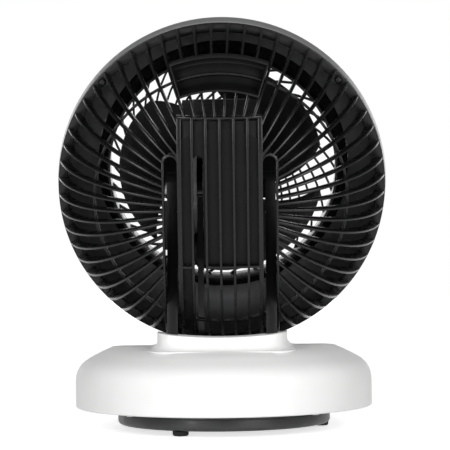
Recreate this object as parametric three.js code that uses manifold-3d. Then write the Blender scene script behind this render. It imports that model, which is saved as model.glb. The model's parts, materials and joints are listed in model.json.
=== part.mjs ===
// A desktop air circulator: a bowl-shaped head that tilts on two arms above a round base,
// and a base that swings from side to side on a low foot. Millimetres, +Z up, the air blows
// towards -Y. The origin is on the table, on the axis of the foot.

import * as THREE from "three";
import { mergeVertices } from "three/addons/utils/BufferGeometryUtils.js";
import Module from "manifold-3d";

const wasm = await Module();
wasm.setup();

// ---------------------------------------------------------------- driving dimensions
const gap = 0.3; // between pieces that touch
const wall = 2.6; // moulded shells
const screwShank = 1.6; // radius
const screwHead = 3.2; // radius

// head: distances along its own axis (y, rearwards) and out from it, from the tilt axis
const waistRadius = 143.2; // widest ring of the shroud
const waistBack = -38;
const pivotHeight = waistRadius + 63.3; // tilt axis above the table
const pivotBack = 11; // tilt axis behind the foot's axis
const restTilt = 11; // degrees that the nose points up at rest
const lowestTilt = 5; // degrees, nose lowest
const highestTilt = 90; // degrees, nose highest
const rimRadius = waistRadius - 2;
const rimBack = -16; // rear face of the rim
const rimThickness = 3;
const rimWidth = 7.8;
const rearFlat = 81; // rear face of the panel
const domeFlatRadius = 40; // where the dome's curve meets the flat
const domePull = 68; // how far the curve's handle reaches out from there
const domeRise = 0.6; // share of the dome's depth that its wall climbs before it turns in
const finCount = 60;
const finThickness = 2;
const finDepth = 9;
const domeSteps = 7; // straight stretches that the dome's curve is made of
const finFootWidth = 10; // a fin's width where it meets the rim

// rear panel, the slots beside it and the carry handle
const barPitch = 11.6;
const barsEachSide = 3;
const barThickness = 2;
const barOverCover = 4.2; // how deep the bars are where the housing backs them
const panelTop = 74;
const slotWidth = 11; // the two slots that the arms pass through
const slotFrame = 1.8;
const slotTop = 43.5;
const handleOuter = rimRadius - 19.7;
const handleInner = handleOuter - 25.2;
const handleHalfAngle = 20; // degrees to each side of the top
const handlePocketDepth = 28;
const handleWall = 2;
const handleLean = 5.7; // how much the pocket's lower wall slopes

// shroud, front guard and impeller
const shroudFront = -112;
const shroudPull = [2.5, 28]; // how its curve leaves the waist, inwards and forwards
const mouthRadius = waistRadius - 30.8;
const collarRadius = mouthRadius - 12.1; // clear radius inside the front guard's collar
const collarBack = -86;
const spokeCount = 30;
const spokeWidth = 1.9;
const spokeDepth = 4.5;
const spokeAngle = 57; // degrees between a spoke and the radius
const guardCrown = 7; // how far the guard's hub stands ahead of its band
const guardHubRadius = 33;
const bladeCount = 3;
const bladeTipRadius = collarRadius - 11.8;
const bladeHubRadius = 30;
const bladeMiddle = -87; // along the axis
const bladeThickness = 2.2;
const bladeSpan = 84; // degrees that one blade covers
const bladeRise = 27; // from its leading to its trailing edge, along the axis
const shaftRadius = 4;

// motor, its plate and the housing behind it
const housingHalfWidth = 33.5;
const housingBottom = -52;
const housingFront = -34.7;
const plateThickness = 3;
const motorRadius = 34;
const motorLength = 30;
const sectorSlotWidth = 8.9;
const sectorSlotCentre = 18.15;
const ductBottom = -126; // lower end of the cable duct
const ductDepth = 12;

// arms and their pins
const armCentre = 42.3;
const armThickness = 7.4;
const armEyeRadius = 15;
const armFront = -14; // y of its front edge, from the tilt axis
const armWaist = [38, -84]; // a point on its rear edge
const armPull = [14, 26]; // how the edge comes down to that point
const armEyePull = [18, -32]; // and how it leaves the eye
const armFootBack = 50;
const armFlange = 12;
const armFlangeHeight = 4;
const pinRadius = 4.7;
const pinHeadRadius = 7.5;
const pinHeadHeight = 2.2;

// base
const baseRadius = 128;
const baseBottom = 19.3;
const shoulderRadius = 88; // where the top turns into the shoulder
const shoulderHeight = 41;
const baseTop = 71;
const facetAngle = 11; // slope of the control face, degrees
const facetStart = -8; // y where the control face begins
const neckWidth = 110;
const neckBack = 80;
const neckFront = -20;
const neckCorner = 18;
const neckTop = 82;
const neckFillet = 9;
const headClearance = 3;
const floorThickness = 2.7;
const floorScrewLength = 12; // above the floor
const armScrewLength = 5;
const slotClearance = 0.7; // between an arm and its slot in the neck

// foot
const footRadius = 91.7;
const floorScrewOrbit = (footRadius + baseRadius) / 2;
const padHeight = 4.3;
const padRadius = 6.8;
const padOrbit = 84;
const padAngles = [65, 185, 305];
const footFloor = 3;
const footTop = 18.6;
const postRadius = 13;
const postTop = 27;
const washerRadius = 19;
const washerThickness = 1.6;
const pivotScrewRadius = 2.3;
const jackRadius = 4;
const jackHeight = 12.4;
const jackPin = 1.1;

// drives: side to side, and up and down
const swingModule = 2;
const swingTeeth = 32;
const swingPinionTeeth = 12;
const gearWidth = 6;
const swingMotorRadius = 25;
const swingMotorHeight = 22;
const tiltModule = 1.5;
const tiltTeeth = 40; // a full circle of the sector's teeth
const tiltPinionTeeth = 12;
const sectorThickness = 5;
const toothPlay = 0.28; // taken off each flank
const pinionShaft = 3.2;
const tiltMotorRadius = 17;
const tiltMotorLength = 26;

// controls, on the sloping face
const panelLength = 112;
const panelWidth = 30;
const panelThickness = 1.4;
const panelProud = 0.3;
const panelLedge = 3;
const panelCentre = -78; // y
const buttonCount = 5;
const buttonPitch = 19;
const buttonRadius = 6;
const buttonProud = 1.6;
const buttonTravel = 1;
const buttonRow = -3.5; // from the panel's middle
const buttonFlange = 1.2;
const lensLength = 34;
const lensWidth = 4;
const lensRow = 8.5;
const boardDepth = 8.6; // top of the circuit board below the control face
const boardThickness = 1.6;

// how finely round things are faceted
const roundFacets = 40; // the head, the base and the foot
const smallFacets = 12; // pins, washers and buttons
const screwFacets = 6;

// ---------------------------------------------------------------- geometry helpers
const radians = THREE.MathUtils.degToRad;
const far = 2 * baseRadius; // reaches past everything

/** A closed three.js geometry as a solid that can be cut and joined. */
function solid(geometry) {
  const source = geometry.index ? geometry.toNonIndexed() : geometry;
  const bare = new THREE.BufferGeometry();
  bare.setAttribute("position", source.getAttribute("position"));
  const merged = mergeVertices(bare, 1e-4);
  const corners = merged.index.array;
  const triangles = [];
  for (let i = 0; i < corners.length; i += 3) {
    const [a, b, c] = corners.slice(i, i + 3);
    if (a !== b && b !== c && c !== a) triangles.push(a, b, c);
  }
  const build = (triVerts) =>
    new wasm.Manifold(
      new wasm.Mesh({
        numProp: 3,
        vertProperties: merged.attributes.position.array,
        triVerts: new Uint32Array(triVerts),
      }),
    );
  const made = build(triangles);
  return made.volume() < 0 ? build(triangles.reverse()) : made;
}

/** A solid as a three.js geometry. */
function geometryOf(made) {
  const mesh = made.getMesh();
  const flat = new THREE.BufferGeometry();
  const position = new Float32Array(mesh.numVert * 3);
  for (let i = 0; i < mesh.numVert; i++) {
    position.set(mesh.vertProperties.subarray(i * mesh.numProp, i * mesh.numProp + 3), i * 3);
  }
  flat.setAttribute("position", new THREE.BufferAttribute(position, 3));
  flat.setIndex(new THREE.BufferAttribute(mesh.triVerts, 1));
  flat.computeVertexNormals();
  return flat;
}

const asSolid = (piece) => (piece.isBufferGeometry ? solid(piece) : piece);

/** Joins several geometries or solids. */
function join(...pieces) {
  return pieces.flat().map(asSolid).reduce((whole, piece) => whole.add(piece));
}

/** Takes tools away from a body. */
function cut(body, ...tools) {
  return tools.flat().map(asSolid).reduce((whole, tool) => whole.subtract(tool), asSolid(body));
}

/** What a body and a tool have in common. */
const common = (body, tool) => asSolid(body).intersect(asSolid(tool));

/** A profile of [radius, y] points turned round Y; it closes on the axis or on itself. */
function revolve(profile, segments = roundFacets) {
  const points = profile.map(([r, y]) => new THREE.Vector2(r, y));
  const onAxis = profile[0][0] === 0 && profile.at(-1)[0] === 0;
  if (!onAxis) points.push(points[0].clone());
  return new THREE.LatheGeometry(points, segments);
}

/** The same, standing up: turned round Z. */
const revolveUp = (profile, segments = roundFacets) => revolve(profile, segments).rotateX(Math.PI / 2);

/** The same, lying across: turned round X. */
const revolveAcross = (profile, segments = smallFacets) => revolve(profile, segments).rotateZ(-Math.PI / 2);

/** A block given by its corners. */
function block([x0, x1], [y0, y1], [z0, z1]) {
  const box = new THREE.BoxGeometry(x1 - x0, y1 - y0, z1 - z0);
  return box.translate((x0 + x1) / 2, (y0 + y1) / 2, (z0 + z1) / 2);
}

/** A round bar along "x", "y" or "z", between two stations on that axis. */
function rod(axis, radius, from, to, [u, v] = [0, 0], segments = smallFacets) {
  const bar = new THREE.CylinderGeometry(radius, radius, to - from, segments);
  bar.translate(0, (from + to) / 2, 0);
  if (axis === "x") return bar.rotateZ(-Math.PI / 2).translate(0, u, v);
  if (axis === "z") return bar.rotateX(Math.PI / 2).translate(u, v, 0);
  return bar.translate(u, 0, v);
}

const extrude = (shape, depth, curveSegments) =>
  new THREE.ExtrudeGeometry(shape, { depth, bevelEnabled: false, curveSegments });

/** A shape drawn in (y, z), given a thickness along X between two stations. */
function plateAcross(shape, x0, x1, curveSegments = 8) {
  const [alongY, alongZ, alongX] = [
    new THREE.Vector3(0, 1, 0),
    new THREE.Vector3(0, 0, 1),
    new THREE.Vector3(1, 0, 0),
  ];
  const axes = new THREE.Matrix4().makeBasis(alongY, alongZ, alongX);
  return extrude(shape, x1 - x0, curveSegments).applyMatrix4(axes).translate(x0, 0, 0);
}

/** A shape drawn in (x, z), given a thickness along Y between two stations. */
const plateFacing = (shape, y0, y1, curveSegments = 8) =>
  extrude(shape, y1 - y0, curveSegments).rotateX(Math.PI / 2).translate(0, y1, 0);

/** A shape drawn in (x, y), given a height between two stations. */
const plateUp = (shape, z0, z1, curveSegments = 8) =>
  extrude(shape, z1 - z0, curveSegments).translate(0, 0, z0);

/** A solid through rings of points, all rings with the same count, closed at each end. */
function loft(rings) {
  const count = rings[0].length;
  const position = rings.flat().flatMap((p) => [p.x, p.y, p.z]);
  const middle = (ring) =>
    ring.reduce((sum, p) => sum.add(p), new THREE.Vector3()).divideScalar(count);
  position.push(...[rings[0], rings.at(-1)].map(middle).flatMap((p) => [p.x, p.y, p.z]));
  const [firstEnd, lastEnd] = [rings.length * count, rings.length * count + 1];
  const lastRing = (rings.length - 1) * count;
  const index = [];
  for (let i = 0; i < count; i++) {
    const j = (i + 1) % count;
    for (let r = 0; r + 1 < rings.length; r++) {
      const [a, b] = [r * count + i, r * count + j];
      index.push(a, b, b + count, a, b + count, a + count);
    }
    index.push(j, i, firstEnd, lastRing + i, lastRing + j, lastEnd);
  }
  const made = new THREE.BufferGeometry();
  made.setAttribute("position", new THREE.Float32BufferAttribute(position, 3));
  made.setIndex(index);
  return made;
}

/** The outline of a rectangle with round corners, between two corners. */
function roundRectangle([x0, x1], [y0, y1], corner) {
  const shape = new THREE.Shape();
  shape.absarc(x1 - corner, y1 - corner, corner, 0, Math.PI / 2);
  shape.absarc(x0 + corner, y1 - corner, corner, Math.PI / 2, Math.PI);
  shape.absarc(x0 + corner, y0 + corner, corner, Math.PI, 1.5 * Math.PI);
  shape.absarc(x1 - corner, y0 + corner, corner, 1.5 * Math.PI, 2 * Math.PI);
  shape.closePath();
  return shape;
}

/** Turns a piece drawn at +X about the head's axis, to an angle towards +Z. */
const aroundAxis = (geometry, degrees) => geometry.rotateY(-radians(degrees));

/** The outline of an involute gear, or of some of its teeth, with tooth 0 centred on +X. */
function gearOutline(module, teeth, first = 0, count = teeth) {
  const pitch = (module * teeth) / 2;
  const baseCircle = pitch * Math.cos(radians(20));
  const [root, tip] = [pitch - 1.25 * module, pitch + 0.95 * module];
  const involute = (r) => {
    const turn = Math.acos(Math.min(baseCircle / r, 1));
    return Math.tan(turn) - turn;
  };
  const halfTooth = Math.PI / 2 / teeth - toothPlay / pitch;
  const halfAt = (r) => halfTooth + involute(pitch) - involute(Math.max(r, baseCircle));
  const place = (r, angle) => new THREE.Vector2(r * Math.cos(angle), r * Math.sin(angle));
  const flank = [root, tip];
  const points = [];
  for (let k = first; k < first + count; k++) {
    const middle = (2 * Math.PI * k) / teeth;
    points.push(...flank.map((r) => place(r, middle - halfAt(r))));
    points.push(...flank.toReversed().map((r) => place(r, middle + halfAt(r))));
  }
  return points;
}

/** The same outline, turned by an angle. */
const turned = (points, angle) =>
  points.map((p) => p.clone().rotateAround(new THREE.Vector2(), angle));

// ---------------------------------------------------------------- scene graph and materials
const fan = new THREE.Group();
const foot = new THREE.Group();
const base = new THREE.Group();
const head = new THREE.Group();
head.position.set(0, pivotBack, pivotHeight);
head.rotation.x = radians(-restTilt);
const controls = new THREE.Group();
const facetTan = Math.tan(radians(facetAngle));
controls.position.set(0, panelCentre, baseTop + (panelCentre - facetStart) * facetTan);
controls.rotation.x = radians(facetAngle);
controls.updateMatrix();
fan.add(foot, base, head);
base.add(controls);

const plastic = (color, roughness) => new THREE.MeshStandardMaterial({ color, roughness });
const metal = (color, roughness) =>
  new THREE.MeshStandardMaterial({ color, roughness, metalness: 1 });
const black = plastic(0x17181a, 0.42);
const glossBlack = plastic(0x0b0c0d, 0.18);
const grey = plastic(0x4f5052, 0.38);
const white = plastic(0xf2f2f0, 0.4);
const rubber = plastic(0x1b1b1c, 0.85);
const steel = metal(0xa9abad, 0.35);
const acetal = plastic(0xe3e1d8, 0.5);
const circuit = plastic(0x1f5a36, 0.6);
const clear = plastic(0xcfd6da, 0.1);

/** Names a piece, gives it its material and puts it in its group. */
function addPiece(group, name, piece, material) {
  const mesh = new THREE.Mesh(geometryOf(asSolid(piece)), material);
  mesh.name = name;
  group.add(mesh);
}

// ---------------------------------------------------------------- the rear guard's dome
const domeDepth = rearFlat - rimBack;

/** The dome's outline from the rim to its flat, in (distance, y), moved inwards by an inset. */
function domeLine(inset) {
  const curve = new THREE.CubicBezierCurve(
    new THREE.Vector2(rimRadius - inset * 0.9, rimBack),
    new THREE.Vector2(rimRadius - 2.5 - inset, rimBack + domeDepth * domeRise - inset * 0.5),
    new THREE.Vector2(domeFlatRadius + domePull - inset * 0.6, rearFlat - inset),
    new THREE.Vector2(domeFlatRadius, rearFlat - inset),
  );
  return curve.getPoints(domeSteps).map((p) => [p.x, p.y]);
}

/** Everything inside the dome, moved inwards by an inset. */
function domeSolid(inset) {
  const line = domeLine(inset);
  const front = rimBack - 3 * finDepth;
  return revolve(
    [[0, front], [line[0][0], front], ...line, [0, rearFlat - inset]],
    finCount,
  );
}

/** Depth of a dome line at a distance from the head's axis. */
function depthOn(line, distance) {
  const after = Math.max(line.findIndex(([r]) => r <= distance), 1);
  const [[r0, y0], [r1, y1]] = [line[after - 1], line[after]];
  return y0 + ((y1 - y0) * (distance - r0)) / (r1 - r0);
}

/** The outline of a fin that ends at a distance from the axis, in (distance, y). */
function domeOutline(innerEnd) {
  const front = rimBack - rimThickness + 1;
  const trimmed = (line) => [
    ...line.filter(([r]) => r > innerEnd + 1),
    [innerEnd, innerEnd < line.at(-1)[0] ? line.at(-1)[1] : depthOn(line, innerEnd)],
  ];
  const inside = trimmed(domeLine(finDepth).slice(1)).reverse();
  return [
    ...trimmed(domeLine(0)),
    ...inside.filter(([r]) => r < rimRadius - finFootWidth),
    [rimRadius - finFootWidth, front],
    [rimRadius - 1, front],
  ];
}

const slotInner = barsEachSide * barPitch + barThickness / 2;
const slotOuter = slotInner + slotWidth;
const slotMiddle = (slotInner + slotOuter) / 2;
const slotArch = slotTop - slotWidth / 2; // where the slot's sides meet its arch
const screwAngles = [42, 138, 222, 318]; // midway between fins
const screwOrbit = rimRadius - 4.8;
const screwBoss = 4.4;

/** How near the head's axis a fin comes before it meets a slot's frame or the panel. */
function finEnd(angle) {
  const [across, up] = [Math.abs(Math.cos(radians(angle))), Math.sin(radians(angle))];
  const atSlot = (slotOuter + slotFrame / 2) / across;
  if (atSlot * up < slotArch) return atSlot;
  const atPanel = (slotInner - barThickness / 2) / across;
  const atTop = (panelTop - barThickness / 2) / up;
  return atPanel * up < panelTop - 1 ? Math.max(atPanel, archEnd(across, up)) : atTop;
}

/** Where a fin in a direction meets the arch of a slot, or 0 if it passes above. */
function archEnd(across, up) {
  const radius = (slotWidth + slotFrame) / 2;
  const along = slotMiddle * across + slotArch * up;
  const aside = slotMiddle * up - slotArch * across;
  return Math.abs(aside) < radius ? along + Math.sqrt(radius ** 2 - aside ** 2) : 0;
}

function guardFins() {
  const fins = [];
  for (let i = 0; i < finCount; i++) {
    const angle = (360 / finCount) * (i + 0.5);
    const end = finEnd(angle);
    if (end > rimRadius - finFootWidth) continue;
    const outline = domeOutline(end).map(([r, y]) => new THREE.Vector2(r, y));
    const plate = extrude(new THREE.Shape(outline), finThickness, 1);
    fins.push(aroundAxis(plate.translate(0, 0, -finThickness / 2), angle));
  }
  return join(fins);
}

/** The points, in (y, z), where a dome line crosses the upright plane at x, between two heights. */
function lineAcross(line, x, low, high) {
  const flat = line.at(-1)[1];
  const below = line.filter(([r]) => r > Math.abs(x)).map(([r, y]) => [y, -Math.sqrt(r * r - x * x)]);
  const above = below.map(([y, z]) => [y, -z]).reverse();
  const whole = [...below, ...above].filter(([, z]) => z > low && z < high);
  const depth = (z) => {
    const r = Math.hypot(x, z);
    return r <= line.at(-1)[0] ? flat : depthOn(line, r);
  };
  return [[depth(low), low], ...whole, [depth(high), high]];
}

/** An upright bar of the guard at x, from the rim up to a height, shallower over the housing. */
function guardBar(x, thickness, top, backed) {
  const rim = -Math.sqrt((rimRadius - 1) ** 2 - x * x);
  const foot = -Math.sqrt((rimRadius - finFootWidth) ** 2 - x * x);
  const front = rimBack - rimThickness + 1;
  const inner = domeLine(finDepth);
  const outside = lineAcross(domeLine(0), x, rim, top);
  const low = housingBottom + barThickness;
  const high = panelTop - barThickness;
  const inside = backed
    ? [
        ...lineAcross(inner, x, foot, low),
        ...lineAcross(domeLine(barOverCover), x, low, high),
        ...lineAcross(inner, x, high, top),
      ]
    : lineAcross(inner, x, foot, top);
  const points = [[front, rim], ...outside, ...inside.reverse(), [front, foot]];
  const shape = new THREE.Shape(points.map(([y, z]) => new THREE.Vector2(y, z)));
  return plateAcross(shape, x - thickness / 2, x + thickness / 2);
}

/** A level rail of the guard between two stations, its top at a height. */
function guardRail([x0, x1], top) {
  const middle = top - barThickness / 2;
  const steps = 2;
  const edge = (inset) =>
    Array.from({ length: steps + 1 }, (_, i) => {
      const x = x0 + ((x1 - x0) * i) / steps;
      const r = Math.hypot(x, middle);
      const line = domeLine(inset);
      return new THREE.Vector2(x, r <= line.at(-1)[0] ? rearFlat - inset : depthOn(line, r));
    });
  const shape = new THREE.Shape([...edge(0), ...edge(finDepth).reverse()]);
  return plateUp(shape, top - barThickness, top);
}

function guardBars() {
  const bars = [];
  for (let i = -barsEachSide; i <= barsEachSide; i++) {
    const outermost = Math.abs(i) === barsEachSide;
    bars.push(guardBar(i * barPitch, barThickness, panelTop, !outermost));
  }
  const frame = slotOuter + slotFrame / 2;
  const low = housingBottom + barThickness;
  return join(
    bars,
    [-1, 1].map((side) => guardBar(side * frame, slotFrame, slotArch + 0.5, false)),
    guardRail([-slotInner + 0.5, slotInner - 0.5], panelTop),
    guardRail([-slotInner + 0.5, barPitch], low),
    guardRail([2 * barPitch, slotInner - 0.5], low),
  );
}

/** The arch over the top of an arm's slot. */
function slotArchFrame(side) {
  const ring = new THREE.Shape();
  ring.absarc(side * slotMiddle, slotArch, slotWidth / 2 + slotFrame, 0, Math.PI, false);
  ring.absarc(side * slotMiddle, slotArch, slotWidth / 2, Math.PI, 0, true);
  return common(plateFacing(ring, 0, far, 6), cut(domeSolid(0), domeSolid(finDepth)));
}

function rearGuard() {
  const front = rimBack - rimThickness;
  const rim = revolve(
    [
      [rimRadius - rimWidth, front],
      [rimRadius + 0.4, front],
      [rimRadius + 0.4, rimBack],
      [rimRadius - rimWidth, rimBack],
    ],
    finCount,
  );
  const bosses = screwAngles.map((a) =>
    aroundAxis(rod("y", screwBoss, front, rimBack + 2, [screwOrbit, 0], smallFacets), a),
  );
  const holes = screwAngles.map((a) =>
    aroundAxis(rod("y", screwShank + gap, -far, far, [screwOrbit, 0], screwFacets), a),
  );
  const grille = join(guardFins(), guardBars(), slotArchFrame(1), slotArchFrame(-1));
  return cut(join(grille, rim, bosses), holes, handleBody(gap));
}

// ---------------------------------------------------------------- carry handle
/** A profile in (distance, y) carried through the handle's angle, about the head's axis. */
function handleSweep(profile, halfAngle, segments = 8) {
  const rings = [];
  for (let i = 0; i <= segments; i++) {
    const angle = radians(90 - halfAngle + (2 * halfAngle * i) / segments);
    rings.push(
      profile.map(([r, y]) => new THREE.Vector3(r * Math.cos(angle), y, r * Math.sin(angle))),
    );
  }
  return loft(rings);
}

const handleBackInner = depthOn(domeLine(0), handleInner);
const handleBackOuter = depthOn(domeLine(0), handleOuter);
const handleFloorOuter = handleBackOuter - handlePocketDepth * 0.6;

/** The pocket that the fingers go into, open at the back. */
function fingerPocket() {
  return handleSweep(
    [
      [handleInner, handleBackInner + 3],
      [handleInner + handleLean, handleBackInner - handlePocketDepth],
      [handleOuter - 1, handleFloorOuter],
      [handleOuter, handleBackOuter],
      [handleOuter, handleBackInner + 3],
    ],
    handleHalfAngle - 1,
  );
}

/** The handle's outside, grown by a clearance. */
function handleBody(grow) {
  const t = handleWall + grow;
  const lift = 3 * grow; // the back slopes, so it needs more to stay clear
  return handleSweep(
    [
      [handleInner - t, handleBackInner + 1 + lift],
      [handleInner - t + handleLean, handleBackInner - handlePocketDepth - t],
      [handleOuter + t - 1, handleFloorOuter - t],
      [handleOuter + t + 1, handleBackOuter + 1 + lift],
      [handleOuter - 5, handleBackOuter + 8 + lift],
    ],
    handleHalfAngle + (grow ? 0.15 : 0),
  );
}

// ---------------------------------------------------------------- shroud and front guard
const shroudCurve = new THREE.CubicBezierCurve(
  new THREE.Vector2(waistRadius, waistBack),
  new THREE.Vector2(waistRadius - shroudPull[0], waistBack - shroudPull[1]),
  new THREE.Vector2(waistRadius - 12, shroudFront + 10),
  new THREE.Vector2(mouthRadius + wall, shroudFront),
);

function frontShroud() {
  const rear = rimBack - rimThickness - gap;
  const steps = 4;
  const outside = shroudCurve.getPoints(steps).map((p) => [p.x, p.y]);
  const inside = outside.map(([r, y], i) => [r - wall, y + (i / steps) * wall]).reverse();
  const shell = revolve([
    [rimRadius - wall, rear],
    [rimRadius, rear],
    ...outside,
    [mouthRadius, shroudFront],
    ...inside,
  ]);
  const bosses = screwAngles.map((a) =>
    aroundAxis(rod("y", screwBoss - 0.2, rear - 22, rear, [screwOrbit, 0], smallFacets), a),
  );
  const holes = screwAngles.map((a) =>
    aroundAxis(rod("y", screwShank + gap, rear - 20, far, [screwOrbit, 0], screwFacets), a),
  );
  return cut(join(shell, bosses), holes);
}

/** One spiral spoke of the front guard, from the hub to the band. */
function spoke(start) {
  const stations = 4;
  const rings = [];
  for (let i = 0; i <= stations; i++) {
    const along = i / stations;
    const r = guardHubRadius - 2 + (collarRadius + 3 - guardHubRadius) * along;
    const angle = radians(start) + Math.tan(radians(spokeAngle)) * Math.log(r / guardHubRadius);
    const sideways = angle + radians(spokeAngle + 90);
    const front = shroudFront - guardCrown * (1 - along ** 2);
    const corner = (u, y) => {
      const offset = (u * spokeWidth) / 2;
      const x = r * Math.cos(angle) + offset * Math.cos(sideways);
      const z = r * Math.sin(angle) + offset * Math.sin(sideways);
      return new THREE.Vector3(x, y, z);
    };
    const back = front + spokeDepth;
    rings.push([corner(-1, front), corner(1, front), corner(1, back), corner(-1, back)]);
  }
  return loft(rings);
}

function frontGuard() {
  const outer = mouthRadius - gap;
  const face = shroudFront - 0.6;
  const band = revolve([
    [collarRadius, face],
    [outer - 1, face],
    [outer, face + 1],
    [collarRadius + wall, shroudFront + 5],
    [collarRadius + wall, collarBack],
    [collarRadius, collarBack],
  ]);
  const lip = face - guardCrown;
  const hub = revolve(
    [
      [0, lip - 1],
      [guardHubRadius - 8, lip - 0.6],
      [guardHubRadius, lip + 1],
      [guardHubRadius, lip + spokeDepth + 0.6],
      [0, lip + spokeDepth + 0.6],
    ],
    32,
  );
  const spokes = [];
  for (let i = 0; i < spokeCount; i++) spokes.push(spoke((360 / spokeCount) * i));
  return join(band, hub, spokes);
}

// ---------------------------------------------------------------- impeller
/** One blade: a twisted, cambered plate that grows wider towards its tip. */
function blade() {
  const [rows, columns] = [3, 6];
  const inner = bladeHubRadius - 2;
  const at = (u, along, side) => {
    const span = radians(bladeSpan) * (0.72 + 0.28 * Math.sin((Math.PI / 2) * along));
    const corner = along === 1 ? 1 - 0.05 * (2 * Math.abs(u)) ** 3 : 1;
    const r = (inner + (bladeTipRadius - inner) * along) * corner;
    const angle = u * span + 0.12 * along;
    const camber = 3.2 * (1 - 4 * u * u);
    const rise = bladeRise * (1 - 0.25 * along);
    const y = bladeMiddle + u * rise - camber + (side * bladeThickness) / 2;
    return new THREE.Vector3(r * Math.cos(angle), y, r * Math.sin(angle));
  };
  const rings = [];
  for (let j = 0; j <= columns; j++) {
    const u = j / columns - 0.5;
    const ring = [];
    for (let i = 0; i <= rows; i++) ring.push(at(u, i / rows, -1));
    for (let i = rows; i >= 0; i--) ring.push(at(u, i / rows, 1));
    rings.push(ring);
  }
  return loft(rings);
}

const hubFront = bladeMiddle - bladeRise / 2 - 1.5;
const hubBack = bladeMiddle + bladeRise / 2 + 1.5;
const hubBossBack = hubBack - 6;

function fanBlade() {
  const hub = revolve(
    [
      [0, hubFront],
      [bladeHubRadius - 5, hubFront],
      [bladeHubRadius, hubFront + 4],
      [bladeHubRadius, hubBack],
      [bladeHubRadius - wall, hubBack],
      [bladeHubRadius - wall, hubFront + 6],
      [2 * shaftRadius + 1, hubFront + wall],
      [2 * shaftRadius + 1, hubBossBack],
      [0, hubBossBack],
    ],
    32,
  );
  const blades = [];
  for (let i = 0; i < bladeCount; i++) blades.push(aroundAxis(blade(), (360 / bladeCount) * i));
  return cut(join(hub, blades), rod("y", shaftRadius + gap, -far, far));
}

const motorBack = housingFront - plateThickness - 2 * gap;
const motorFront = motorBack - motorLength;
const shaftFront = hubFront - 2;

function motorShaft() {
  const shaft = rod("y", shaftRadius, shaftFront, motorFront - gap);
  const collar = rod("y", shaftRadius + 3.5, hubBossBack + gap, hubBossBack + gap + 2.4);
  return join(shaft, collar);
}

function bladeNut() {
  const nut = revolve(
    [
      [0, hubFront - 6],
      [7, hubFront - 6],
      [9, hubFront - 4],
      [9, hubFront - gap],
      [0, hubFront - gap],
    ],
    smallFacets,
  );
  return cut(nut, rod("y", shaftRadius + gap, shaftFront - gap, far));
}

function motorCan() {
  return revolve(
    [
      [0, motorFront],
      [motorRadius - 5, motorFront],
      [motorRadius, motorFront + 5],
      [motorRadius, motorBack],
      [0, motorBack],
    ],
    32,
  );
}

// ---------------------------------------------------------------- housing behind the panel
const housingTop = panelTop - barThickness - gap;
const housingLow = housingBottom + barThickness + gap;

function motorPlate() {
  const back = housingFront - gap;
  const outline = roundRectangle(
    [-housingHalfWidth, housingHalfWidth],
    [housingLow, housingTop],
    10,
  );
  return plateFacing(outline, back - plateThickness, back, 4);
}

function motorHousing() {
  const [w, t] = [housingHalfWidth, wall];
  const outside = block([-w, w], [housingFront, far], [housingLow, housingTop]);
  const inside = block(
    [-w + t, w - t],
    [housingFront - 1, far],
    [housingLow + t, housingTop - t],
  );
  const skin = barOverCover + 3 * gap;
  const shell = cut(
    common(outside, domeShadow(skin)),
    common(inside, domeShadow(skin + t)),
  );
  const bossEnd = armCentre - armThickness / 2 - gap;
  const bosses = [rod("x", pinHeadRadius + 1, w - 1, bossEnd), rod("x", pinHeadRadius + 1, -bossEnd, 1 - w)];
  const bores = rod("x", pinRadius + gap, -far, far);
  const sides = [sectorSlotCentre - sectorSlotWidth / 2, sectorSlotCentre + sectorSlotWidth / 2];
  const back = 2 * armEyeRadius; // the slot in the rear wall begins behind this
  const arch = slotTop - sectorSlotWidth / 2;
  const sectorSlot = [
    block(sides, [-8, far], [-far, housingLow + 2 * t]),
    block(sides, [back, far], [-far, arch]),
    rod("y", sectorSlotWidth / 2, back, far, [sectorSlotCentre, arch]),
  ];
  return cut(join(shell, bosses), bores, sectorSlot);
}

/** Everything inside the dome and straight ahead of it, moved inwards by an inset. */
function domeShadow(inset) {
  const line = domeLine(inset);
  const front = housingFront - 2;
  return revolve([[0, front], [line[0][0], front], ...line, [0, rearFlat - inset]], finCount);
}

/** The channel that the leads run in, from the housing down to the rim. */
function cableDuct() {
  const inset = gap + barThickness / 2;
  const skin = barOverCover + 3 * gap;
  const column = block(
    [2 * barPitch + inset, 3 * barPitch - inset],
    [rimBack + 4, far],
    [ductBottom, housingBottom - gap],
  );
  return cut(common(column, domeSolid(skin)), domeSolid(skin + ductDepth));
}

// ---------------------------------------------------------------- pivot pins and arms
function pivotPin(side) {
  const head = armCentre + armThickness / 2 + gap;
  const inner = housingHalfWidth - 6;
  const pin = revolveAcross([
    [0, inner],
    [pinRadius, inner],
    [pinRadius, head],
    [pinHeadRadius, head],
    [pinHeadRadius, head + pinHeadHeight - 0.7],
    [pinHeadRadius - 0.7, head + pinHeadHeight],
    [0, head + pinHeadHeight],
  ]);
  return side > 0 ? pin : pin.rotateZ(Math.PI);
}

const floorTop = baseBottom + floorThickness;
const armBottom = floorTop + gap - pivotHeight; // from the tilt axis
const neckLevel = neckTop - pivotHeight;

function armShape() {
  const shape = new THREE.Shape();
  shape.moveTo(armFront, 0);
  shape.absarc(0, 0, armEyeRadius, Math.PI, 0.35, true);
  const arrival = [armWaist[0] - armPull[0], armWaist[1] + armPull[1]];
  shape.bezierCurveTo(...armEyePull, ...arrival, ...armWaist);
  shape.quadraticCurveTo(armFootBack - 3, neckLevel + 22, armFootBack, neckLevel);
  shape.lineTo(armFootBack, armBottom);
  shape.lineTo(armFront, armBottom);
  return shape;
}

const armFootScrews = [armFront + 10, armFootBack - 10];
const armInside = armCentre - armThickness / 2;

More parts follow.
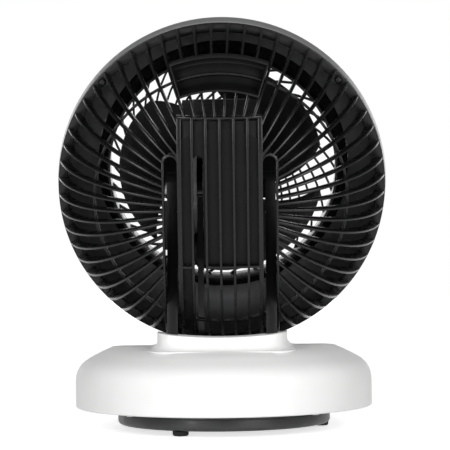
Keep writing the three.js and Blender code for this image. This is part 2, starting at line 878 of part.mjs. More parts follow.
function arm(side) {
  const plate = plateAcross(armShape(), armInside, armInside + armThickness, 7);
  const flange = block(
    [armInside - armFlange, armInside + 1],
    [armFront, armFootBack],
    [armBottom, armBottom + armFlangeHeight],
  );
  const bore = rod("x", pinRadius + gap, 0, far);
  const holes = armFootScrews.map((y) =>
    rod("z", screwShank + gap, -far, 0, [armInside - armFlange / 2, y], screwFacets),
  );
  const made = cut(join(plate, flange), bore, holes).translate([0, pivotBack, pivotHeight]);
  return side > 0 ? made : made.mirror([1, 0, 0]);
}

const sectorLeft = sectorSlotCentre - sectorThickness / 2;
const sectorRight = sectorSlotCentre + sectorThickness / 2;
const stemFront = -6; // y from the tilt axis
const stemBack = 16;
const stemStep = 20; // how much further back the stem stands on the floor
const stemStepTop = neckLevel - 22; // the step begins below the hollow that the head turns in
const stemShoulder = -4 * armEyeRadius; // from here up the stem narrows towards its hub
const sectorScrew = [sectorLeft - 5, stemBack + stemStep / 2];

/** The fixed tooth sector that the tilt drive climbs, on a stem down to the floor. */
function tiltSector() {
  const step = 360 / tiltTeeth;
  const frontTeeth = 2;
  const backTeeth = Math.ceil((highestTilt - restTilt) / step) + 1;
  const teeth = gearOutline(tiltModule, tiltTeeth, -backTeeth, backTeeth + frontTeeth + 1);
  const outline = turned([new THREE.Vector2(0, 0), ...teeth], radians(90 - restTilt));
  const stem = new THREE.Shape();
  const [upper, lower] = [stemStepTop, stemStepTop - stemStep];
  stem.moveTo(stemFront, 0);
  stem.lineTo(stemFront, upper);
  stem.lineTo(stemFront + stemStep, lower);
  stem.lineTo(stemFront + stemStep, armBottom);
  stem.lineTo(stemBack + stemStep, armBottom);
  stem.lineTo(stemBack + stemStep, lower);
  stem.lineTo(stemBack, upper);
  stem.lineTo(stemBack, stemShoulder);
  stem.lineTo(armEyeRadius - 2, 0);
  const flange = block(
    [sectorLeft - 10, sectorLeft + 1],
    [stemFront + stemStep, stemBack + stemStep],
    [armBottom, armBottom + armFlangeHeight],
  );
  const hub = rod("x", armEyeRadius - 1, sectorLeft, sectorRight);
  const hole = rod("z", screwShank + gap, -far, 0, sectorScrew, screwFacets);
  const sector = plateAcross(new THREE.Shape(outline), sectorLeft, sectorRight);
  const made = join(sector, plateAcross(stem, sectorLeft, sectorRight), hub, flange);
  return cut(made, hole).translate([0, pivotBack, pivotHeight]);
}

// ---------------------------------------------------------------- tilt drive in the head
const tiltReach = (tiltModule * (tiltTeeth + tiltPinionTeeth)) / 2;
const stubStart = sectorLeft - 4;

function tiltPinion() {
  const outline = turned(gearOutline(tiltModule, tiltPinionTeeth), Math.PI / tiltPinionTeeth);
  const wheel = plateAcross(new THREE.Shape(outline), sectorLeft - 0.5, sectorRight + 0.5);
  const stub = rod("x", pinionShaft, stubStart, sectorRight + 2);
  return join(wheel, stub).translate([0, 0, tiltReach]);
}

function tiltMotor() {
  const face = stubStart - gap;
  const back = face - tiltMotorLength;
  const body = rod("x", tiltMotorRadius, back, face, [0, tiltReach], 32);
  const bracket = block([back, back + 3], [-12, 12], [tiltReach, housingTop - wall - gap]);
  return join(body, bracket);
}

// ---------------------------------------------------------------- base
/** The outside of the head as one closed body, grown by a clearance, nose at its lowest. */
function headEnvelope(clearance) {
  const outline = [
    [0, shroudFront - clearance],
    ...shroudCurve.getPoints(2).slice(1).reverse().map((p) => [p.x + clearance, p.y - clearance]),
    [waistRadius + clearance, waistBack],
    ...domeLine(0).map(([r, y]) => [r + clearance, y + clearance]),
    [0, rearFlat + clearance],
  ];
  const body = revolve(outline, 32).rotateX(-radians(lowestTilt));
  return body.translate(0, pivotBack, pivotHeight);
}

/** The neck, with a hollow fillet round its foot. */
function neckBody(inset) {
  const ring = (grow, z) => {
    const g = grow - inset;
    const points = roundRectangle(
      [-neckWidth / 2 - g, neckWidth / 2 + g],
      [neckFront - g, neckBack + g],
      neckCorner + g,
    ).getPoints(3);
    points.pop();
    return points.map((p) => new THREE.Vector3(p.x, p.y, z - inset));
  };
  const steps = 3;
  const rings = [ring(neckFillet, shoulderHeight + 12)];
  for (let i = 0; i <= steps; i++) {
    const a = (Math.PI / 2) * (i / steps);
    rings.push(ring(neckFillet * (1 - Math.sin(a)), baseTop + neckFillet * (1 - Math.cos(a))));
  }
  const edge = (neckTop - baseTop - neckFillet) * 0.6;
  rings.push(ring(0, neckTop - edge), ring(-edge, neckTop));
  return loft(rings);
}

/** The outside of the base, all its faces moved inwards by an inset. */
function baseBody(inset, bottom) {
  const shoulder = new THREE.EllipseCurve(
    shoulderRadius,
    shoulderHeight,
    baseRadius - shoulderRadius - inset,
    baseTop - shoulderHeight - inset,
    0,
    Math.PI / 2,
  );
  const drum = revolveUp(
    [
      [0, bottom],
      [baseRadius - inset, bottom],
      ...shoulder.getPoints(5).map((p) => [p.x, p.y]),
      [0, baseTop - inset],
    ],
  );
  const facet = block([-far, far], [-far, 0], [0, far]).rotateX(radians(facetAngle));
  facet.translate(0, facetStart, baseTop - inset / Math.cos(radians(facetAngle)));
  return cut(join(cut(drum, facet), neckBody(inset)), headEnvelope(headClearance + inset));
}

const floorScrewPlaces = [45, 135, 225, 315].map((a) => [
  floorScrewOrbit * Math.cos(radians(a)),
  floorScrewOrbit * Math.sin(radians(a)),
]);

/** A slot through the neck's top for an upright that is t thick at x, from y0 to y1. */
function neckSlot(x, t, y0, y1) {
  return block(
    [x - t / 2 - slotClearance, x + t / 2 + slotClearance],
    [pivotBack + y0 - slotClearance, pivotBack + y1 + slotClearance],
    [baseTop - 12, neckTop + 5],
  );
}

function baseShell() {
  const shell = cut(baseBody(0, baseBottom), baseBody(wall, baseBottom - 1));
  const slots = [
    neckSlot(armCentre, armThickness, armFront, armFootBack),
    neckSlot(-armCentre, armThickness, armFront, armFootBack),
    neckSlot(sectorSlotCentre, sectorThickness, stemFront, stemBack),
  ];
  const columns = floorScrewPlaces.map((at) => rod("z", 4.5, floorTop + gap, far, at, 12));
  const posts = common(join(columns), baseBody(wall / 2, baseBottom));
  const pilots = floorScrewPlaces.map((at) =>
    rod("z", screwShank + gap, floorTop - 1, floorTop + 14, at, screwFacets),
  );
  return cut(join(shell, posts), slots, pilots, controlOpenings());
}

/** The recess for the control panel and the opening below it. */
function controlOpenings() {
  const depth = panelThickness - panelProud + gap;
  const [l, w] = [panelLength / 2, panelWidth / 2];
  const recess = roundRectangle([-l - gap, l + gap], [-w - gap, w + gap], 4 + gap);
  const [m, n] = [l - panelLedge, w - panelLedge];
  const through = roundRectangle([-m, m], [-n, n], 2);
  const tools = [plateUp(recess, -depth, 5, 4), plateUp(through, -boardDepth, 5, 4)];
  return tools.map((tool) => tool.applyMatrix4(controls.matrix));
}

const swingReach = (swingModule * (swingTeeth + swingPinionTeeth)) / 2;
const armScrewPlaces = [-1, 1].flatMap((side) =>
  armFootScrews.map((y) => [side * (armInside - armFlange / 2), y + pivotBack]),
);
const sectorScrewPlace = [sectorScrew[0], sectorScrew[1] + pivotBack];

function baseFloor() {
  const outer = baseRadius - wall - gap;
  const hubRadius = postRadius + 6;
  const disc = revolveUp([
    [postRadius + gap, baseBottom],
    [outer, baseBottom],
    [outer, floorTop],
    [hubRadius, floorTop],
    [hubRadius, postTop - gap],
    [postRadius + gap, postTop - gap],
  ]);
  const shaftHole = rod("z", pinionShaft + 1, 0, far, [0, -swingReach]);
  const fixed = [...floorScrewPlaces, ...armScrewPlaces, sectorScrewPlace];
  const holes = fixed.map((at) => rod("z", screwShank + gap, 0, far, at, screwFacets));
  return cut(disc, shaftHole, holes);
}

/** A screw that goes up through the floor, its head below. */
function floorScrew([x, y], length) {
  const seat = baseBottom - gap;
  const headHeight = 2.2;
  const screw = revolveUp(
    [
      [0, seat - headHeight],
      [screwHead, seat - headHeight],
      [screwHead, seat],
      [screwShank, seat],
      [screwShank, seat + length],
      [0, seat + length],
    ],
    screwFacets,
  );
  return screw.translate(x, y, 0);
}

// ---------------------------------------------------------------- side to side drive
const gearBottom = padHeight + footFloor + gap;

function swingGear() {
  const outline = new THREE.Shape(gearOutline(swingModule, swingTeeth));
  const disc = plateUp(outline, gearBottom, gearBottom + gearWidth);
  return cut(disc, rod("z", postRadius + gap, 0, far, [0, 0], 20));
}

function swingPinion() {
  const outline = turned(gearOutline(swingModule, swingPinionTeeth), Math.PI / swingPinionTeeth);
  const wheel = plateUp(new THREE.Shape(outline), gearBottom, gearBottom + gearWidth);
  const stub = rod("z", pinionShaft, gearBottom, floorTop);
  return join(wheel, stub).translate([0, -swingReach, 0]);
}

function swingMotor() {
  const bottom = floorTop + gap;
  const top = bottom + swingMotorHeight;
  const can = revolveUp(
    [
      [0, bottom],
      [swingMotorRadius, bottom],
      [swingMotorRadius, top - 2],
      [swingMotorRadius - 2, top],
      [0, top],
    ],
    32,
  );
  return can.translate(0, -swingReach, 0);
}

// ---------------------------------------------------------------- foot
function footPlate() {
  const inner = footRadius - wall;
  const floor = padHeight + footFloor;
  const plate = revolveUp(
    [
      [0, padHeight],
      [footRadius - 3, padHeight],
      [footRadius, padHeight + 2.4],
      [footRadius, footTop],
      [inner, footTop],
      [inner, floor],
      [postRadius, floor],
      [postRadius, postTop],
      [pivotScrewRadius + gap, postTop],
      [pivotScrewRadius + gap, floor + 2],
      [0, floor + 2],
    ],
  );
  return cut(plate, rod("y", jackRadius + gap, -far, -footRadius / 2, [0, jackHeight]));
}

/** The inlet in the front of the foot's wall, with its centre pin. */
function powerJack() {
  const face = -footRadius + 0.4;
  const inner = -footRadius + wall + 3 * gap;
  const back = inner + 12;
  const barrel = rod("y", jackRadius, face, back, [0, jackHeight]);
  const body = block(
    [-jackRadius - 1.5, jackRadius + 1.5],
    [inner, back],
    [padHeight + footFloor + gap, jackHeight + jackRadius + 1],
  );
  const hollow = rod("y", jackRadius - 1, face - 1, back - 3, [0, jackHeight]);
  const pin = rod("y", jackPin, face + 1, back - 1, [0, jackHeight], screwFacets);
  return join(cut(join(barrel, body), hollow), pin);
}

function rubberFoot(angle) {
  const top = padHeight - gap;
  const profile = [[0, 0], [padRadius - 1, 0], [padRadius, 1], [padRadius, top], [0, top]];
  const [x, y] = [padOrbit * Math.cos(radians(angle)), padOrbit * Math.sin(radians(angle))];
  return revolveUp(profile, smallFacets).translate(x, y, 0);
}

function thrustRing() {
  const [bottom, top] = [gearBottom + gearWidth + gap, baseBottom - gap];
  const [bore, outer] = [postRadius + gap, postRadius + 11];
  return revolveUp([[bore, bottom], [outer, bottom], [outer, top], [bore, top]], 24);
}

function pivotWasher() {
  const [bottom, top] = [postTop + gap, postTop + gap + washerThickness];
  const bore = pivotScrewRadius + gap;
  return revolveUp([[bore, bottom], [washerRadius, bottom], [washerRadius, top], [bore, top]], 24);
}

function pivotScrew() {
  const bottom = padHeight + footFloor + 3;
  const seat = postTop + washerThickness + 2 * gap;
  return revolveUp(
    [
      [0, bottom],
      [pivotScrewRadius, bottom],
      [pivotScrewRadius, seat],
      [2 * pivotScrewRadius, seat],
      [2 * pivotScrewRadius, seat + 2],
      [2 * pivotScrewRadius - 1, seat + 3],
      [0, seat + 3],
    ],
    smallFacets,
  );
}

// ---------------------------------------------------------------- controls
const buttonPlaces = Array.from({ length: buttonCount }, (_, i) => [
  (i - (buttonCount - 1) / 2) * buttonPitch,
  buttonRow,
]);
const panelUnder = panelProud - panelThickness;

function controlPanel() {
  const [l, w] = [panelLength / 2, panelWidth / 2];
  const plate = plateUp(roundRectangle([-l, l], [-w, w], 4), panelUnder, panelProud, 4);
  const holes = buttonPlaces.map((at) => rod("z", buttonRadius + gap, -5, 5, at));
  const [a, b] = [lensLength / 2 + gap, lensWidth / 2 + gap];
  const window = block([-a, a], [lensRow - b, lensRow + b], [-5, 5]);
  const postPlaces = [-1, 1].map((side) => [side * (l - panelLedge - 4), 0]);
  const posts = postPlaces.map((at) => rod("z", 2.6, -boardDepth + gap, panelUnder + 0.2, at, screwFacets));
  return cut(join(plate, posts), holes, window);
}

function indicatorLens() {
  const [a, b] = [lensLength / 2, lensWidth / 2];
  const under = panelUnder - gap;
  const strip = block([-a, a], [lensRow - b, lensRow + b], [under - 1, panelProud]);
  const lip = block([-a - 1.5, a + 1.5], [lensRow - b - 0.8, lensRow + b + 0.8], [under - 1, under]);
  return join(strip, lip);
}

function button([x, y]) {
  const under = panelUnder - gap;
  const cap = revolveUp(
    [
      [0, under - buttonFlange],
      [buttonRadius + 1, under - buttonFlange],
      [buttonRadius + 1, under],
      [buttonRadius, under],
      [buttonRadius, buttonProud - 0.6],
      [buttonRadius - 0.8, buttonProud],
      [0, buttonProud],
    ],
    smallFacets,
  );
  return cap.translate(x, y, 0);
}

function controlBoard() {
  const [l, w] = [panelLength / 2 - panelLedge - 1, panelWidth / 2 - panelLedge - 1];
  const sheet = block([-l, l], [-w, w], [-boardDepth - boardThickness, -boardDepth]);
  const top = panelUnder - buttonFlange - buttonTravel - 2 * gap;
  const switches = buttonPlaces.map(([x, y]) =>
    block([x - 3, x + 3], [y - 3, y + 3], [-boardDepth - 0.5, top]),
  );
  return join(sheet, switches);
}

/** A screw that holds the rear guard to the shroud. */
function guardScrew(angle) {
  const seat = rimBack + 2 + gap;
  const shank = rod("y", screwShank, seat - 20, seat + 0.5, [screwOrbit, 0], screwFacets);
  const cap = rod("y", screwHead, seat, seat + 2, [screwOrbit, 0], screwFacets);
  return aroundAxis(geometryOf(join(shank, cap)), angle);
}

// ---------------------------------------------------------------- the assembly
addPiece(foot, "foot_plate", footPlate(), black);
padAngles.forEach((angle, i) => addPiece(foot, `rubber_foot_${i + 1}`, rubberFoot(angle), rubber));
addPiece(foot, "swing_gear", swingGear(), acetal);
addPiece(foot, "thrust_ring", thrustRing(), acetal);
addPiece(foot, "pivot_washer", pivotWasher(), steel);
addPiece(foot, "pivot_screw", pivotScrew(), steel);
addPiece(foot, "power_jack", powerJack(), black);

addPiece(base, "base_floor", baseFloor(), white);
addPiece(base, "base_shell", baseShell(), white);
addPiece(base, "arm_left", arm(1), black);
addPiece(base, "arm_right", arm(-1), black);
addPiece(base, "tilt_sector", tiltSector(), glossBlack);
addPiece(base, "swing_motor", swingMotor(), steel);
addPiece(base, "swing_pinion", swingPinion(), acetal);
floorScrewPlaces.forEach((at, i) =>
  addPiece(base, `floor_screw_${i + 1}`, floorScrew(at, floorThickness + floorScrewLength), steel),
);
[...armScrewPlaces, sectorScrewPlace].forEach((at, i) =>
  addPiece(base, `arm_screw_${i + 1}`, floorScrew(at, floorThickness + armScrewLength), steel),
);
addPiece(controls, "control_panel", controlPanel(), glossBlack);
addPiece(controls, "indicator_lens", indicatorLens(), clear);
addPiece(controls, "control_board", controlBoard(), circuit);
buttonPlaces.forEach((at, i) => addPiece(controls, `button_${i + 1}`, button(at), black));

addPiece(head, "rear_guard", rearGuard(), black);
addPiece(head, "carry_handle", cut(handleBody(0), fingerPocket()), black);
addPiece(head, "front_shroud", frontShroud(), grey);
addPiece(head, "front_guard", frontGuard(), black);
addPiece(head, "motor_housing", motorHousing(), black);
addPiece(head, "cable_duct", cableDuct(), black);
addPiece(head, "motor_plate", motorPlate(), steel);
addPiece(head, "motor_can", motorCan(), steel);
addPiece(head, "motor_shaft", motorShaft(), steel);
addPiece(head, "fan_blade", fanBlade(), black);
addPiece(head, "blade_nut", bladeNut(), black);
addPiece(head, "pivot_pin_left", pivotPin(1), steel);
addPiece(head, "pivot_pin_right", pivotPin(-1), steel);
addPiece(head, "tilt_motor", tiltMotor(), steel);
addPiece(head, "tilt_pinion", tiltPinion(), acetal);
screwAngles.forEach((angle, i) => addPiece(head, `guard_screw_${i + 1}`, guardScrew(angle), steel));

export default fan;
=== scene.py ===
"""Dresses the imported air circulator: a finned bowl of a head on two arms above a round base.

Sizes are written in millimetres. The head's pieces are modelled in its own upright frame, in
which its axis is Y and the air blows towards -Y, and are then turned into their place.
"""

from __future__ import annotations

import json
import logging
import math
from collections.abc import Callable, Iterable, Sequence
from dataclasses import dataclass
from enum import Enum
from itertools import pairwise

import bpy
from mathutils import Matrix, Vector

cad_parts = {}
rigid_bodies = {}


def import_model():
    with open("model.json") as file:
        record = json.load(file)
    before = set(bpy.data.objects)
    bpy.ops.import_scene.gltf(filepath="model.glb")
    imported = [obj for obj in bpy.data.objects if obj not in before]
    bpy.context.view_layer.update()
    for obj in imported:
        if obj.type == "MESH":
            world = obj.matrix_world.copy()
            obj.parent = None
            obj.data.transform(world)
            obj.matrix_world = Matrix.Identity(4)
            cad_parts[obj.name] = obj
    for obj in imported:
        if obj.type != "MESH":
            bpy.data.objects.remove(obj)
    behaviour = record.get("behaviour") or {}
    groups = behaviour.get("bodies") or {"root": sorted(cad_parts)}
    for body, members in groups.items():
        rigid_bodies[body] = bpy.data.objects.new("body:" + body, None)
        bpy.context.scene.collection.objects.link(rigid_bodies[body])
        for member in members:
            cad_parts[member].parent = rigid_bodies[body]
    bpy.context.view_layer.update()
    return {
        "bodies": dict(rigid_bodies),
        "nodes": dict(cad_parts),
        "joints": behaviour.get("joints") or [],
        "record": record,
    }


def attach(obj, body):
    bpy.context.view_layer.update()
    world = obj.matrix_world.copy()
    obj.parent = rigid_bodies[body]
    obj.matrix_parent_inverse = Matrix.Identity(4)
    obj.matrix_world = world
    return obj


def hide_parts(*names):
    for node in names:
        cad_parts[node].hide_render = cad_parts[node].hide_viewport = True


log = logging.getLogger("air_circulator")

Point = tuple[float, float]
Piece = bpy.types.Object

MM = 0.001
SMOOTH_ANGLE = 32.0
MERGE_DISTANCE = 0.004
PATTERN_MIDDLE = (0.3, 0.7)
RUNNING_GAP = 0.3
SCREW_ANGLES = (42.0, 138.0, 222.0, 318.0)
SCREW_ORBIT = 136.4
CROSSWISE = (0.0, 90.0)


class Slot(Enum):
    """The record's material slots."""

    BLACK = "black_plastic"
    GLOSS_BLACK = "gloss_black_plastic"
    GREY = "grey_plastic"
    WHITE = "white_plastic"
    RUBBER = "soft_rubber"
    STEEL = "steel"
    LENS = "clear_lens"


class Finish(Enum):
    """The kinds of surface, each with a material of its own."""

    GUARD_BLACK = "guard_black"
    HANDLE_BLACK = "handle_black"
    HOUSING_BLACK = "housing_black"
    BLADE_BLACK = "blade_black"
    GLOSS_BLACK = "gloss_black"
    SHROUD_GREY = "shroud_grey"
    FOOT_CHARCOAL = "foot_charcoal"
    SATIN_WHITE = "satin_white"
    RUBBER_BLACK = "rubber_black"
    ACETAL_WHITE = "acetal_white"
    ZINC_STEEL = "zinc_steel"
    TURNED_STEEL = "turned_steel"
    BLACKENED_STEEL = "blackened_steel"
    SOLDER_GREEN = "solder_green"
    MILKY_LENS = "milky_lens"


class Axis(Enum):
    """The axes that an outline is spun about."""

    X = "X"
    Y = "Y"
    Z = "Z"


class Tooling(Enum):
    """What a tool does to a piece."""

    CUT = "DIFFERENCE"
    ADD = "UNION"
    KEEP = "INTERSECT"


class Change(Enum):
    """The kinds of change that are made to a whole piece."""

    BEVEL = "BEVEL"
    BOOLEAN = "BOOLEAN"
    SOLIDIFY = "SOLIDIFY"


class Body(Enum):
    """The bodies that move by themselves."""

    FOOT = "foot"
    BASE = "base"
    HEAD = "head"
    BLADE = "blade"
    BUTTON_1 = "button_1"
    BUTTON_2 = "button_2"
    BUTTON_3 = "button_3"
    BUTTON_4 = "button_4"
    BUTTON_5 = "button_5"


@dataclass(frozen=True)
class Place:
    """Where a sub-assembly's own upright frame stands in the object's frame."""

    tilt: float = 0.0
    at: tuple[float, float, float] = (0.0, 0.0, 0.0)

    def matrix(self) -> Matrix:
        """The turn about X and the shift, in metres."""
        shift = Matrix.Translation(Vector(self.at) * MM)
        return shift @ Matrix.Rotation(math.radians(self.tilt), 4, "X")


UPRIGHT = Place()
HEAD_PLACE = Place(-11.0, (0.0, 11.0, 206.5))
FACET_ANGLE = 11.0
PANEL_MIDDLE = -78.0
PANEL_LEVEL = 71.0 + (PANEL_MIDDLE + 8.0) * math.tan(math.radians(FACET_ANGLE))
CONTROL_PLACE = Place(FACET_ANGLE, (0.0, PANEL_MIDDLE, PANEL_LEVEL))


@dataclass(frozen=True)
class Dressing:
    """What pieces of a kind share: their body, their slot in the record, finish and place."""

    body: Body
    slot: Slot
    finish: Finish
    place: Place


# ------------------------------------------------------------------ finishes
class Shader:
    """A node tree under construction, read in Object coordinates."""

    def __init__(self, name: str) -> None:
        """Starts an empty material.

        Args:
            name: The material's name.
        """
        self.material = bpy.data.materials.new(name)
        self.material.use_nodes = True
        self.tree = self.material.node_tree
        self.tree.nodes.clear()
        self.surface = self.node("ShaderNodeBsdfPrincipled")
        output = self.node("ShaderNodeOutputMaterial")
        self.link(self.surface.outputs["BSDF"], output.inputs["Surface"])
        self.place = self.node("ShaderNodeTexCoord").outputs["Object"]

    def node(self, kind: str, **settings: object) -> bpy.types.Node:
        """Adds a node.

        Args:
            kind: The node's type.
            settings: Properties of the node.

        Returns:
            The node.
        """
        made = self.tree.nodes.new(kind)
        for key, value in settings.items():
            setattr(made, key, value)
        return made

    def link(self, source: bpy.types.NodeSocket, target: bpy.types.NodeSocket) -> None:
        """Joins two sockets."""
        self.tree.links.new(source, target)

    def noise(
        self, scale: float, detail: float = 3.0, stretch: tuple[float, float, float] = (1, 1, 1)
    ) -> bpy.types.NodeSocket:
        """Adds a noise pattern.

        Args:
            scale: How many features it has in a metre.
            detail: How many finer layers it has.
            stretch: Its scale along each axis.

        Returns:
            The pattern's value, from 0 to 1.
        """
        mapping = self.node("ShaderNodeMapping")
        mapping.inputs["Scale"].default_value = stretch
        self.link(self.place, mapping.inputs["Vector"])
        texture = self.node("ShaderNodeTexNoise")
        texture.inputs["Scale"].default_value = scale
        texture.inputs["Detail"].default_value = detail
        self.link(mapping.outputs["Vector"], texture.inputs["Vector"])
        return texture.outputs["Fac"]

    def spread(self, value: bpy.types.NodeSocket, low: float, high: float) -> bpy.types.NodeSocket:
        """Maps a pattern's middle part to a range.

        Args:
            value: The pattern.
            low: What its dark parts give.
            high: What its light parts give.

        Returns:
            The mapped value.
        """
        ramp = self.node("ShaderNodeMapRange")
        ramp.inputs["From Min"].default_value = PATTERN_MIDDLE[0]
        ramp.inputs["From Max"].default_value = PATTERN_MIDDLE[1]
        ramp.inputs["To Min"].default_value = low
        ramp.inputs["To Max"].default_value = high
        self.link(value, ramp.inputs["Value"])
        return ramp.outputs["Result"]

    def tint(
        self, value: bpy.types.NodeSocket, first: Sequence[float], second: Sequence[float]
    ) -> bpy.types.NodeSocket:
        """Mixes two colours by a pattern.

        Args:
            value: The pattern.
            first: The colour at 0.
            second: The colour at 1.

        Returns:
            The mixed colour.
        """
        mix = self.node("ShaderNodeMix", data_type="RGBA")
        mix.inputs["A"].default_value = (*first, 1.0)
        mix.inputs["B"].default_value = (*second, 1.0)
        self.link(value, mix.inputs["Factor"])
        return mix.outputs["Result"]

    def bump(self, height: bpy.types.NodeSocket, distance: float, strength: float) -> None:
        """Raises the surface by a pattern, over what is raised already.

        Args:
            height: The pattern.
            distance: Its height in millimetres.
            strength: How much of it shows.
        """
        bump = self.node("ShaderNodeBump")
        bump.inputs["Strength"].default_value = strength
        bump.inputs["Distance"].default_value = distance * MM
        self.link(height, bump.inputs["Height"])
        normal = self.surface.inputs["Normal"]
        if normal.is_linked:
            self.link(normal.links[0].from_socket, bump.inputs["Normal"])
        self.link(bump.outputs["Normal"], normal)


@dataclass(frozen=True)
class Moulded:
    """Moulded plastic or rubber: a spark-eroded grain, slow flow marks and rubbed patches."""

    finish: Finish
    colour: tuple[float, float, float]
    roughness: float
    grain: float = 2600.0
    grain_height: float = 0.02
    mottle: float = 0.12
    rub: float = 0.06
    specular: float = 0.3

    def material(self) -> bpy.types.Material:
        """Builds the material.

        Returns:
            The material.
        """
        shader = Shader(self.finish.value)
        flow = shader.spread(shader.noise(38.0, 4.0), 0.0, 1.0)
        dark = [c * (1 - self.mottle) for c in self.colour]
        light = [min(c * (1 + self.mottle), 0.95) for c in self.colour]
        shader.link(shader.tint(flow, dark, light), shader.surface.inputs["Base Color"])
        rubbed = shader.noise(95.0, 5.0, (1.0, 1.0, 0.6))
        gloss = shader.spread(rubbed, self.roughness - self.rub, self.roughness + self.rub)
        shader.link(gloss, shader.surface.inputs["Roughness"])
        shader.surface.inputs["Specular IOR Level"].default_value = self.specular
        shader.bump(shader.noise(self.grain, 2.0), self.grain_height, 0.35)
        shader.bump(shader.noise(60.0, 1.0), 0.1, 0.08)
        return shader.material


@dataclass(frozen=True)
class Metal:
    """Zinc-plated or turned steel with fine marks in one direction."""

    finish: Finish
    colour: tuple[float, float, float]
    roughness: float
    stretch: tuple[float, float, float] = (1.0, 40.0, 1.0)

    def material(self) -> bpy.types.Material:
        """Builds the material.

        Returns:
            The material.
        """
        shader = Shader(self.finish.value)
        shader.surface.inputs["Metallic"].default_value = 1.0
        marks = shader.noise(260.0, 3.0, self.stretch)
        dark = [c * 0.8 for c in self.colour]
        shader.link(
            shader.tint(shader.spread(marks, 0.0, 1.0), dark, self.colour),
            shader.surface.inputs["Base Color"],
        )
        shader.link(
            shader.spread(shader.noise(120.0), self.roughness - 0.08, self.roughness + 0.1),
            shader.surface.inputs["Roughness"],
        )
        shader.bump(marks, 0.02, 0.3)
        return shader.material


@dataclass(frozen=True)
class Board:
    """A circuit board: solder mask with paler tracks under it."""

    finish: Finish

    def material(self) -> bpy.types.Material:
        """Builds the material.

        Returns:
            The material.
        """
        shader = Shader(self.finish.value)
        bricks = shader.node("ShaderNodeTexBrick")
        bricks.inputs["Scale"].default_value = 140.0
        bricks.inputs["Mortar Size"].default_value = 0.06
        shader.link(shader.place, bricks.inputs["Vector"])
        tracks = shader.tint(bricks.outputs["Fac"], (0.012, 0.09, 0.035), (0.05, 0.2, 0.08))
        shader.link(tracks, shader.surface.inputs["Base Color"])
        shader.surface.inputs["Roughness"].default_value = 0.35
        shader.bump(bricks.outputs["Fac"], 0.04, 0.6)
        return shader.material


@dataclass(frozen=True)
class Lens:
    """The milky strip that the indicator lights shine through."""

    finish: Finish

    def material(self) -> bpy.types.Material:
        """Builds the material.

        Returns:
            The material.
        """
        shader = Shader(self.finish.value)
        haze = shader.spread(shader.noise(300.0, 4.0), 0.0, 1.0)
        colour = shader.tint(haze, (0.34, 0.36, 0.38), (0.46, 0.48, 0.5))
        shader.link(colour, shader.surface.inputs["Base Color"])
        shader.surface.inputs["Roughness"].default_value = 0.15
        shader.surface.inputs["Transmission Weight"].default_value = 0.25
        shader.bump(shader.noise(900.0, 2.0), 0.01, 0.3)
        return shader.material


class FinishBook:
    """One material for each kind of surface, made when it is first asked for."""

    def __init__(self) -> None:
        """Lists the recipes."""
        self.recipes: dict[Finish, Moulded | Metal | Board | Lens] = {
            recipe.finish: recipe
            for recipe in (
                Moulded(Finish.GUARD_BLACK, (0.0052, 0.0053, 0.0056), 0.27, rub=0.04),
                Moulded(
                    Finish.HANDLE_BLACK, (0.005, 0.0051, 0.0054), 0.38, rub=0.04, specular=0.22
                ),
                Moulded(Finish.HOUSING_BLACK, (0.0036, 0.0036, 0.0038), 0.42, specular=0.14),
                Moulded(
                    Finish.BLADE_BLACK, (0.004, 0.0041, 0.0043), 0.28, rub=0.04, specular=0.2
                ),
                Moulded(
                    Finish.GLOSS_BLACK, (0.004, 0.004, 0.0045), 0.14, grain_height=0.004, rub=0.03
                ),
                Moulded(
                    Finish.SHROUD_GREY,
                    (0.24, 0.242, 0.247),
                    0.36,
                    mottle=0.008,
                    rub=0.03,
                    specular=0.35,
                ),
                Moulded(Finish.FOOT_CHARCOAL, (0.022, 0.0225, 0.0235), 0.4, specular=0.5),
                Moulded(Finish.SATIN_WHITE, (0.85, 0.85, 0.845), 0.52, mottle=0.006, rub=0.04),
                Moulded(Finish.RUBBER_BLACK, (0.014, 0.014, 0.014), 0.75, grain=1500.0),
                Moulded(Finish.ACETAL_WHITE, (0.74, 0.73, 0.68), 0.4, mottle=0.03),
                Metal(Finish.ZINC_STEEL, (0.56, 0.565, 0.58), 0.34),
                Metal(Finish.TURNED_STEEL, (0.62, 0.62, 0.63), 0.26, (40.0, 1.0, 1.0)),
                Metal(Finish.BLACKENED_STEEL, (0.05, 0.05, 0.054), 0.45),
                Board(Finish.SOLDER_GREEN),
                Lens(Finish.MILKY_LENS),
            )
        }
        self.made: dict[Finish, bpy.types.Material] = {}

    def get(self, finish: Finish) -> bpy.types.Material:
        """The material of a finish.

        Args:
            finish: The finish.

        Returns:
            Its material.
        """
        if finish not in self.made:
            self.made[finish] = self.recipes[finish].material()
        return self.made[finish]


# ------------------------------------------------------------------ modelling by hand
def mm(x: float, y: float, z: float) -> Vector:
    """A point given in millimetres, in metres."""
    return Vector((x, y, z)) * MM


